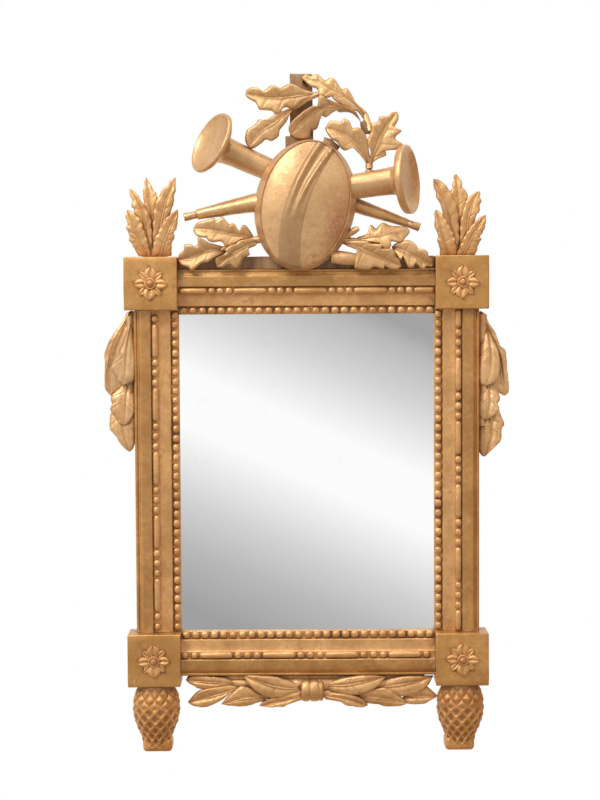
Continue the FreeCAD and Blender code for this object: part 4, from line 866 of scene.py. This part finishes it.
DROP_RIGHT = [
    ((-12, -17, -13, 4, -1), [(3, -3), (23.5, -55.5), (34, -112)],
     [(8.5, -5.5), (14.5, -19.5), (21.5, -30), (27.5, -46.5), (34.5, -54), (36.5, -73.5), (39, -96.5),
      (39, -106.5)],
     [(-0.5, -5.5), (2, -27), (7, -65.5), (17.5, -101.5), (26.5, -108)]),
    ((-18, -25, -23, 4, -1), [(11.5, -27), (14, -63), (10, -98.5)],
     [(19, -41), (25.5, -56.5), (26.5, -77), (23, -92)],
     [(1, -46), (0, -88), (3.5, -97)]),
    ((-14, -21, -18, 4, -1), [(11.5, -93.5), (13, -119), (8.5, -142.5)],
     [(24.5, -101.5), (27.5, -115.5), (24.5, -120.5), (26, -129.5), (17, -138.5)],
     [(1.5, -101), (0, -132), (3.5, -140.5)]),
    ((-11, -17, -15, 4, -1), [(14.5, -127), (16, -160.5), (8.5, -190)],
     [(27, -130), (33.5, -148), (30, -153), (28.5, -168.5), (20, -178.5)],
     [(2, -142.5), (0.5, -178.5), (4, -188)]),
]
GARLAND_LEFT = [
    ((-23, -28, -22, 0, 1), [(-93, -10.5), (-124, -9), (-158, -6.5)],
     [(-99.5, -5.5), (-108.5, -2.5), (-126.5, -0.5), (-152, -0.5)],
     [(-101, -13), (-112.5, -14.5), (-124, -17), (-139.5, -17), (-147, -14), (-154, -10.5)]),
    ((-24, -29, -25, 3, 3), [(-89, -17), (-121.5, -26), (-155.5, -35)],
     [(-97, -11), (-112.5, -13.5), (-133, -16.5), (-143.5, -20.5), (-151.5, -29.5)],
     [(-98.5, -22), (-110, -30.5), (-124, -37.5), (-135.5, -40.5), (-150, -38.5)]),
    ((-24, -29, -27, 2, -1), [(-54.5, -30), (-80.5, -29.5), (-112, -37)],
     [(-65, -18.5), (-79, -14.5), (-88, -13.5), (-97, -21), (-105.5, -29)],
     [(-54.5, -34), (-65, -36), (-75, -39), (-88, -40.5), (-103.5, -39)]),
    ((-26, -33, -26, 1, 2), [(-8, -18), (-43, -13.5), (-84.5, -0.5)],
     [(-13.5, -10), (-30, -4.5), (-43, -0.5), (-59.5, 0.5), (-75, 1)],
     [(-12, -23), (-23.5, -25.5), (-36.5, -28), (-49.5, -28), (-59.5, -24.5), (-68.5, -18.5),
      (-77, -10.5)]),
    ((-27, -31, -28, 2, 3), [(-7, -26), (-34, -32.5), (-63, -39.5)],
     [(-13.5, -20), (-36.5, -26.5), (-47, -28.5), (-58, -33.5)],
     [(-8, -32.5), (-17.5, -34.5), (-26.5, -37.5), (-32.5, -40), (-52, -40.5)]),
]
GARLAND_RIGHT = [
    ((-26, -33, -26, 1, 2), [(21.5, -14), (53.5, -11.5), (100.5, -2)],
     [(29, -7.5), (47, -2.5), (66.5, 0), (85.5, 0)],
     [(26.5, -20.5), (47, -24), (63.5, -24.5), (79, -20), (91.5, -12.5)]),
    ((-27, -31, -28, 2, 3), [(20, -25), (47, -29.5), (76.5, -39.5)],
     [(40.5, -20), (56, -24.5), (69.5, -30.5)],
     [(21.5, -31.5), (40.5, -34), (48.5, -38.5), (60, -40.5), (71.5, -41.5)]),
    ((-24, -30, -25, 2, 3), [(96, -16.5), (124.5, -11.5), (161, -2.5)],
     [(101, -6), (118, -2), (141, -1)],
     [(101, -24), (118, -27.5), (128, -26.5), (143.5, -22), (154.5, -13)]),
    ((-22, -26, -23, 2, 3), [(122, -30.5), (144, -29.5), (167, -29)],
     [(126, -25.5), (141.5, -20), (151.5, -15.5), (158.5, -21)],
     [(122, -38.5), (137.5, -39), (149, -38), (158.5, -33.5)]),
    ((-23, -28, -26, 2, -1), [(56, -28.5), (92, -31), (127.5, -37)],
     [(64, -22), (86, -17), (102.5, -17), (115.5, -26), (122.5, -31.5)],
     [(66.5, -37.5), (89.5, -39), (98.5, -41.5), (114, -41.5), (123, -40)]),
]
print("leaves drawn:", sum(map(len, (UPPER_LEFT, UPPER_RIGHT, RIGHT, LOWER_LEFT, LOWER_RIGHT))), "in the trophy")

# %% [markdown]
# The trophy on top is what gives the mirror its theme, the hunt. A plain board stands behind it on a
# plain ledge, never gilded, because nobody was meant to see it. Two horns cross behind a flask. Each
# tube is a disc pulled along a curve while it swells, and each bell is an outline spun round the
# horn's end.

# %% Ledge, board and horns
CREST = Vector((0, 0, LEDGE_TOP))
LEDGE_FACE, LEDGE_FRONT = 16.6, -33
POST_H, POST_FRONT = 231.0, -23
bm = bmesh.new()
carved_box(bm, (-HALF_W + 0.2, LEDGE_FRONT, LEDGE_TOP - LEDGE_FACE),
           (HALF_W - 0.2, -BACK, LEDGE_TOP - 0.1), 0.8, 11, 0.4, 2)
piece("crest ledge", bm, [raw_wood], ["crest_ledge"])
bm = bmesh.new()
carved_box(bm, (-19.3, POST_FRONT, LEDGE_TOP), (9.3, -BACK, LEDGE_TOP + POST_H), 1.0, 9, 0.6, 2)
carved_box(bm, (-25.5, -31, LEDGE_TOP + 138), (8.6, -BACK - 2, LEDGE_TOP + 152), 1.2, 6, 0.8, 2)
piece("crest post", bm, [raw_wood], ["crest_post"])


def bent(start, bend, end):
    """Points along a bend that starts and ends as its three points say."""
    start, bend, end = Vector(start), Vector(bend), Vector(end)
    return [start * (1 - t) ** 2 + bend * (2 * t * (1 - t)) + end * t * t for t in (0, 0.25, 0.5, 0.75, 1)]


def horn(name, node, path, radii, axis, bell_r, bell_l, rim):
    """A tube that swells along its bend, and a shallow dished bell on its end."""
    bm = bmesh.new()
    guide = curve_through([CREST + Vector(p) for p in path], 12)
    sizes = [r[0] for r in curve_through([(r, 0) for r in radii], 12)]
    share = (len(sizes) - 1) / (len(guide) - 1)
    stem(bm, guide, [sizes[round(i * share)] for i in range(len(guide))], 28)
    neck = sizes[-1] + 0.3
    gain = bell_r - neck
    flare = [(neck - 2, -8), (neck, -4), (neck + 0.6, 2), (neck + gain * 0.14, bell_l * 0.30)]
    flare += [(neck + gain * 0.32, bell_l * 0.46), (neck + gain * 0.66, bell_l * 0.56)]
    flare += [(bell_r - 4.0, bell_l - rim), (bell_r - 1.2, bell_l - rim + 1.6), (bell_r, bell_l - 2.0)]
    dish = [(bell_r - 0.5, bell_l + 1.0), (bell_r - 2.0, bell_l + 2.0)]
    dish += [(bell_r - 3.8, bell_l + 1.4), (bell_r - 6.4, bell_l - 1.0)]
    dish += [(bell_r * 0.66, bell_l - 4.4), (bell_r * 0.36, bell_l - 6.4), (0, bell_l - 7.2)]
    way = Vector(axis).normalized()
    spun(bm, curve_through(flare + dish, 4), basis(way.cross(UP), way, guide[-1] - way * 2), 56)
    for vert in bm.verts:
        vert.co += shake(vert.co, 24.0, 0.5)
    return piece(name, bm, [horn_gold], [node])


LEFT_BELL = ((129, -30, 41), (20, -25, 78), (-106, -40, 136))
RIGHT_BELL = ((-138, -40, 53), (-30, -42, 76), (112, -47, 94))
horn("horn with left bell", "horn_left_bell", bent(*LEFT_BELL), (5.3, 8.2, 11.0, 13.2, 14.6, 17.0),
     (-0.78, -0.48, 0.40), 40.6, 19, 5.5)
horn("horn with right bell", "horn_right_bell", bent(*RIGHT_BELL), (6.7, 9.8, 12.6, 14.4, 15.6, 17.2),
     (0.94, -0.33, 0.07), 43.6, 21, 8.5)


def mouthpiece(name, node, start, bend, radius):
    """A short turned end, parted from the horn by a dark seam."""
    bm = bmesh.new()
    start, bend = CREST + Vector(start), CREST + Vector(bend)
    way = (start - bend).normalized()
    outline = [(0, 0.2), (0.84, 0.2), (0.93, 1.2), (0.95, 8), (1.0, 13), (1.0, 15.6)]
    outline += [(0.9, 16.7), (0.46, 16.7), (0.3, 12), (0, 12)]
    spun(bm, [(r * radius, h) for r, h in outline], basis(way.cross(UP), way, start), 24)
    piece(name, bm, [horn_gold], [node], sharp=50)


mouthpiece("right mouthpiece", "mouthpiece_right", LEFT_BELL[0], LEFT_BELL[1], 5.4)
mouthpiece("left mouthpiece", "mouthpiece_left", RIGHT_BELL[0], RIGHT_BELL[1], 5.2)

# %% [markdown]
# The flask is spun as a round dish, with a slope from its rim to its face, and drawn out into an
# oval. Its leather strap bends across the face. At the top the strap is two rolls with a groove
# between them, and lower down they run together into one broad band. It is carved in the same wood,
# so here it is a swelling of the same surface, fine enough for its edges to stay crisp.

# %% Flask and strap
LONG, SHORT = 83.0, 63.5       # half-lengths of the oval
SEAM = 0.88                    # where the slope from the rim meets the face, as a share of the radius
FACE_LOW, FACE_HIGH = 29.0, 42.0
STRAP_HALF, STRAP_RISE = 13.4, 5.0
FLASK_TURNS, FACE_RINGS = 180, 60
FLASK_LEAN = math.radians(12)
FLASK_PLACE = CREST + Vector((-1, -34, 64))


def strap_at(x, y):
    """Height of the strap over the face, and how dark it is painted (dirt and painted shade on its seams and between
    the rolls, and a darker lower band), with x up the flask and y to the left.
    """
    s = (y - (10.8 - 0.0965 * x - 0.00233 * x * x)) / STRAP_HALF
    if abs(s) >= 1.08:
        return 0.0, 0.0
    split = max(0.0, min(1.0, (x + 34) / 70))
    split *= split * (3 - 2 * split)
    rolls = math.exp(-((s - 0.60) / 0.30) ** 2) + 0.95 * math.exp(-((s + 0.22 + 0.0068 * x) / 0.26) ** 2)
    band = 0.50 * (1 - 0.5 * s * s) + 0.22 * s
    rise = STRAP_RISE * (split * rolls + (1 - split) * band) * max(0.0, min(1.0, (1 - abs(s)) / 0.08))
    seam = math.exp(-((s + 1.0) / 0.08) ** 2) + 0.6 * math.exp(-((s - 1.0) / 0.06) ** 2)
    between_rolls = 0.75 * split * math.exp(-((s - 0.14) / 0.18) ** 2)
    return rise, max(0.9 * seam, between_rolls, 0.66 * (1 - 0.85 * split) if abs(s) < 1 else 0.0)


bm = bmesh.new()
groove = bm.verts.layers.float.new("groove")
red = bm.verts.layers.float.new("red")
wall = [(0, 0), (0.965, 0), (0.99, 1.5), (1.0, 6), (1.0, 13), (0.996, 15), (0.985, 17), (0.96, 20), (0.92, 24.6)]
wall += [(0.898, FACE_LOW - 0.6), (0.892, FACE_LOW + 0.3), (0.885, FACE_LOW + 0.1), (SEAM, FACE_LOW - 0.9)]
face = [SEAM * (1 - i / FACE_RINGS) for i in range(1, FACE_RINGS + 1)]
outline = wall + [(r, FACE_LOW + (FACE_HIGH - FACE_LOW) * (1 - (r / SEAM) ** 2) ** 0.85) for r in face]
spun(bm, outline, Matrix.Identity(4), FLASK_TURNS)
for vert in bm.verts:
    out = math.hypot(vert.co.x, vert.co.y)
    if out > 1e-6:
        share, inner = max(0.0, (out - SEAM) / (1 - SEAM)), min(1.0, out / SEAM)
        vert.co.x *= LONG * (share + (1 - share) * 0.955 * inner) / out
        vert.co.y *= SHORT * (share + (1 - share) * 0.86 * inner) / out
    if vert.co.z > 15:
        rise, dark = strap_at(vert.co.x, vert.co.y)
        ease = min(1.0, max(0.0, (1.0 - out) / 0.1))
        vert.co.z += rise * ease
        # dirt and painted shade on the strap's seams and between its rolls, and a darker lower band
        vert[groove] = dark
        vert[red] = math.exp(-((vert.co.x + 18) / 34) ** 2 - ((vert.co.y + 44) / 15) ** 2)
    vert.co += shake(vert.co, 30.0, 0.5)
hung = basis((math.sin(FLASK_LEAN), 0, math.cos(FLASK_LEAN)), FRONT, FLASK_PLACE)
bmesh.ops.transform(bm, matrix=hung, verts=bm.verts)
piece("flask", bm, [flask_gold], ["flask"], sharp=50)

# %% Oak sprays of the trophy
PEG = (3.6, 4.0, 4.4)          # radii of a stub that holds a leaf to the wood behind it
carving("right spray", "spray_right", CREST, RIGHT, [
    ([(80, -43, 116), (80, -43, 104), (77, -43, 96)], (4.6, 5.4, 6.0)),
], leaf_gold)
carving("upper right spray", "spray_upper_right", CREST, UPPER_RIGHT, [
    ([(76, -38, 178), (78, -39, 168), (82, -43, 156)], (3.4, 4.6, 5.2)),
    ([(-4, -34, 165), (-4, -24, 165), (-4, -18, 165)], PEG),
    ([(0, -34, 220), (0, -24, 220), (0, -18, 220)], PEG),
], leaf_gold)
bm = bmesh.new()
stem(bm, [CREST + Vector(p) for p in ((74, -38, 169), (76, -40, 162), (77, -41, 153))], (5.4, 6.4, 5.2), 9)
stem(bm, [CREST + Vector(p) for p in ((22, -40, 144), (31, -42, 141), (40, -43, 134))], (5.0, 6.8, 4.2), 9)
for vert in bm.verts:
    vert.co += shake(vert.co, 5.0, 2.4)
piece("broken stubs", bm, [raw_wood], ["spray_upper_right"])
carving("upper left spray", "spray_upper_left", CREST, UPPER_LEFT, [
    ([(16, -35, 204), (2, -35, 198), (-16, -36, 187)], (3.6, 3.4, 3.0)),
    ([(-6, -35, 202), (-6, -26, 202), (-6, -18, 202)], (4.4, 5.0, 5.4)),
], leaf_gold)
carving("lower left spray", "spray_lower_left", CREST, LOWER_LEFT, [
    ([(-56, -42, 22), (-84, -43, 16), (-108, -43, 8)], (5.0, 4.4, 3.6)),
    ([(-136, -44, 1), (-136, -36, -2), (-136, -28, -4)], PEG),
], leaf_gold)
carving("lower right spray", "spray_lower_right", CREST, LOWER_RIGHT, [
    ([(42, -43, 20), (76, -44, 16), (106, -44, 10)], (5.0, 4.4, 3.6)),
    ([(130, -44, 1), (130, -36, -2), (130, -28, -4)], PEG),
    ([(33, -46, -1), (48, -48, -3), (64, -47, -5)], (8.4, 8.6, 7.4)),
    ([(50, -46, 24), (60, -50, 31), (66, -52, 34)], (3.2, 4.4, 3.0)),
], leaf_gold)

# %% [markdown]
# Smaller carving finishes the outline: leafy finials over the upper blocks, drops of laurel down the
# sides, a tied garland below, and two pine cones for feet. A carver worked the two sides from one
# pattern turned over, but by eye, so each side has its own drawing here.

# %% Finials, drops and garland
BLOCK_X = HALF_W + BLOCK / 2
BLOCK_MID_Y = -32.0
RAIL_OUT = HALF_H + MEMBER_W
PATTERNS = {"left": (FINIAL_LEFT, DROP_LEFT, GARLAND_LEFT), "right": (FINIAL_RIGHT, DROP_RIGHT, GARLAND_RIGHT)}
for side, right in SIDES.items():
    finial, drop, garland = PATTERNS[side]
    core = [([(0, 4, 0), (0, 4, 18), (0, 3, 34)], (10.0, 8.0, 3.0))]
    carving(f"{side} finial", f"finial_{side}", (right * BLOCK_X, BLOCK_MID_Y, LEDGE_TOP), finial, core,
            side_gold, swell=0.8, ribs=0.0, stalked=False, frill=0.7)
    stalk = [([(right * 5, -12, -7), (right * 6, -13, -90), (right * 5, -12, -150)], (6.2, 6.6, 5.6))]
    carving(f"{side} drop", f"side_drop_{side}", (right * (HALF_W + MEMBER_W), -BACK, HALF_H), drop, stalk,
            drop_gold, swell=0.8, ribs=0.35, stalked=False, frill=0.25)
    stalks = [
        ([(5, -18, -14), (right * 60, -18, -13), (right * 140, -18, -11)], (11.0, 9.0, 6.0)),
        ([(5, -17, -5), (right * 70, -17, -4), (right * 150, -17, -4)], (5.6, 5.6, 4.6)),
        ([(right * 9 + 5, -22, -24), (right * 34, -22, -25), (right * 60, -22, -27)], (6.4, 6.0, 4.6)),
    ]
    carving(f"{side} garland", f"garland_{side}", (0, -BACK, -RAIL_OUT), garland, stalks,
            side_gold, swell=1.4, ribs=0.2, stalked=False, frill=0.15)

bm = bmesh.new()
tie = [(0, -14.4), (10, -14.4), (13, -13.8), (14.6, -12), (15.3, -8.5), (15.0, -4.6), (13.6, -3), (14.8, -1.2)]
tie += [(15.3, 3), (14.8, 7.4), (13.8, 9.4), (14.6, 11), (14.2, 13), (12, 14.4), (0, 14.4)]
spun(bm, curve_through(tie, 3), basis(UP, (1, 0, 0), (5, -BACK - 20, -RAIL_OUT - 20)), 40)
piece("garland tie", bm, [side_gold], ["garland_tie"])

# %% Pine-cone feet
FOOT = [(22.8, 0), (25, -6), (28.6, -14), (30.4, -24), (30.6, -32), (29.2, -43), (25.6, -54)]
FOOT += [(21.2, -64), (19.4, -70), (18.4, -75), (17.2, -79.5)]
AROUND, ROWS = 12, 5           # diamonds round the cone, and down it
FINE, RINGS = 16, 96           # grid steps across a diamond, and down the cone
LINE = 0.15                    # breadth of a line of the net, as a share of a diamond
NET_FROM, NET_FADE = 0.27, 0.12    # where down the cone the net begins, and over what length
PLINTH_LOW, PLINTH_HIGH = (-18.8, -13.8, -85.7), (18.8, 18.8, -68.5)
FOOT_X, PLINTH_X = 1.2, 1.6    # the left cone hangs this far right of its block's middle, and its plinth further


def pine_cone(bm):
    """A grid wrapped round the cone's outline: scales stand out at the top, and sink into a net of lines below."""
    groove = bm.verts.layers.float.new("groove")
    outline = even_line(FOOT, RINGS)
    grid = bmesh.ops.create_grid(bm, x_segments=AROUND * FINE, y_segments=RINGS, size=0.5)["verts"]
    for vert in grid:
        turn, down = vert.co.x + 0.5, 0.5 - vert.co.y
        spot = outline[round(down * RINGS)]
        a, b = (turn * AROUND + down * ROWS) % 1.0, (turn * AROUND - down * ROWS) % 1.0
        a, b = min(a, 1 - a), min(b, 1 - b)
        net = sum(min(1.0, 1.5 * math.exp(-(off / LINE) ** 2)) for off in (a, b))
        ease = min(1.0, down * 12, (1 - down) * 14)
        low = min(1.0, max(0.0, (down - NET_FROM) / NET_FADE))
        boss = 1 - (1 - 2 * min(a, b)) ** 2
        lines, scales = 1.9 * min(net, 1.35) - 2.55, 3.0 * boss - 2.4
        radius = spot.x + ease * (low * lines + (1 - low) * scales)
        angle = turn * math.tau
        vert.co = Vector((radius * math.cos(angle), radius * math.sin(angle), spot.y))
        # painted shade and dirt: the sunk cells darken, and the top of the cone under its block is darkened as a
        # painted shadow
        sunk = low * max(0.0, 1 - 1.3 * net) * (0.85 + 0.4 * down) + (1 - low) * max(0.0, 1.0 - 1.6 * boss)
        vert[groove] = max(ease * sunk, 1.4 - down / 0.12)
    bmesh.ops.remove_doubles(bm, verts=grid, dist=0.01)
    bmesh.ops.holes_fill(bm, edges=[e for e in bm.edges if e.is_boundary], sides=0)


for side, right in SIDES.items():
    base = bmesh.new()
    carved_box(base, PLINTH_LOW, PLINTH_HIGH, 5.0, 5, 0.3, 4)
    bmesh.ops.translate(base, vec=(-right * PLINTH_X, 0, 0), verts=base.verts)
    plinth = bpy.data.meshes.new("plinth")
    base.to_mesh(plinth)
    base.free()
    bm = bmesh.new()
    pine_cone(bm)
    bm.from_mesh(plinth)
    bpy.data.meshes.remove(plinth)
    bmesh.ops.recalc_face_normals(bm, faces=bm.faces)
    bmesh.ops.translate(bm, vec=(right * (BLOCK_X - FOOT_X), BLOCK_MID_Y, -LEDGE_TOP), verts=bm.verts)
    piece(f"{side} pine-cone foot", bm, [foot_gold], [f"pine_cone_foot_{side}"], sharp=70)

# %% [markdown]
# What stays as plain solids takes its finish here: the glass, the boards and nails at the back, and
# the iron hangers. They are flat or turned shapes, so there is nothing to carve.

# %% Glass, boards and iron
FINISHES = [
    (mirror_silver, ["mirror_plate"]),
    (iron, ["hanger_strap_left", "hanger_strap_right", "hang_ring_left", "hang_ring_right"]),
    (iron, ["hanger_screws", "backboard_nails"]),
    (pine_boards, ["joint_pegs", "glass_wedges", "crest_dowels", "finial_dowels", "foot_dowels"]),
    (pine_boards, ["backboard_1", "backboard_2", "backboard_3"]),
]
for material, names in FINISHES:
    for name in names:
        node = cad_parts[name]
        node.data.materials.clear()
        node.data.materials.append(material)
print("plain solids with a finish:", sum(len(names) for _, names in FINISHES))

# %% [markdown]
# Last, the hollows and edges are found. From each point of the carving a few feelers go out into the
# room; the more of them that touch wood within 22 millimetres, the more the point is shut in. How
# steeply the surface falls from a point to its neighbours says how exposed it is.

# %% Hollows for the dirt and painted shade, edges for the wear and painted highlight
REACH = 0.022                  # metres, like all that follows
CLEAR = 0.0006                 # how far off the surface a feeler starts
GRAZING = 0.12                 # feelers that lie flatter than this on the surface are left out
COUNT, TURN = 34, 2.4          # feelers in all, and the turn in radians from one to the next
FEELERS = []
for i in range(COUNT):
    z = 1 - (2 * i + 1) / COUNT
    FEELERS.append(Vector((math.sqrt(1 - z * z) * math.cos(i * TURN), math.sqrt(1 - z * z) * math.sin(i * TURN), z)))


def whole_surface(parts):
    """All the carving as one surface that feelers can touch."""
    points, faces = [], []
    for part in parts:
        first = len(points)
        points += [v.co.copy() for v in part.data.vertices]
        faces += [[first + i for i in p.vertices] for p in part.data.polygons]
    return BVHTree.FromPolygons(points, faces)


def mark_relief(part, surface):
    """Stores on each point how shut in it lies, and how exposed its edge is."""
    mesh = part.data
    normals = [v.normal.copy() for v in mesh.vertices]
    places = [v.co.copy() for v in mesh.vertices]
    edge = [0.0] * len(places)
    for e in mesh.edges:
        a, b = e.vertices
        step = places[b] - places[a]
        if step.length > 1e-7:
            way = step.normalized()
            edge[a] = max(edge[a], -way.dot(normals[a]))
            edge[b] = max(edge[b], way.dot(normals[b]))
    recess = []
    for place, normal in zip(places, normals):
        start = place + normal * CLEAR
        felt = hit = 0.0
        for feeler in FEELERS:
            lift = feeler.dot(normal)
            if lift > GRAZING:
                felt += lift
                if surface.ray_cast(start, feeler, REACH)[0] is not None:
                    hit += lift
        recess.append(hit / felt if felt else 0.0)
    mesh.attributes.new("recess", "FLOAT", "POINT").data.foreach_set("value", recess)
    mesh.attributes.new("edge", "FLOAT", "POINT").data.foreach_set("value", edge)


surface = whole_surface(pieces)
for part in pieces:
    mark_relief(part, surface)
print("relief marked on", len(pieces), "pieces")
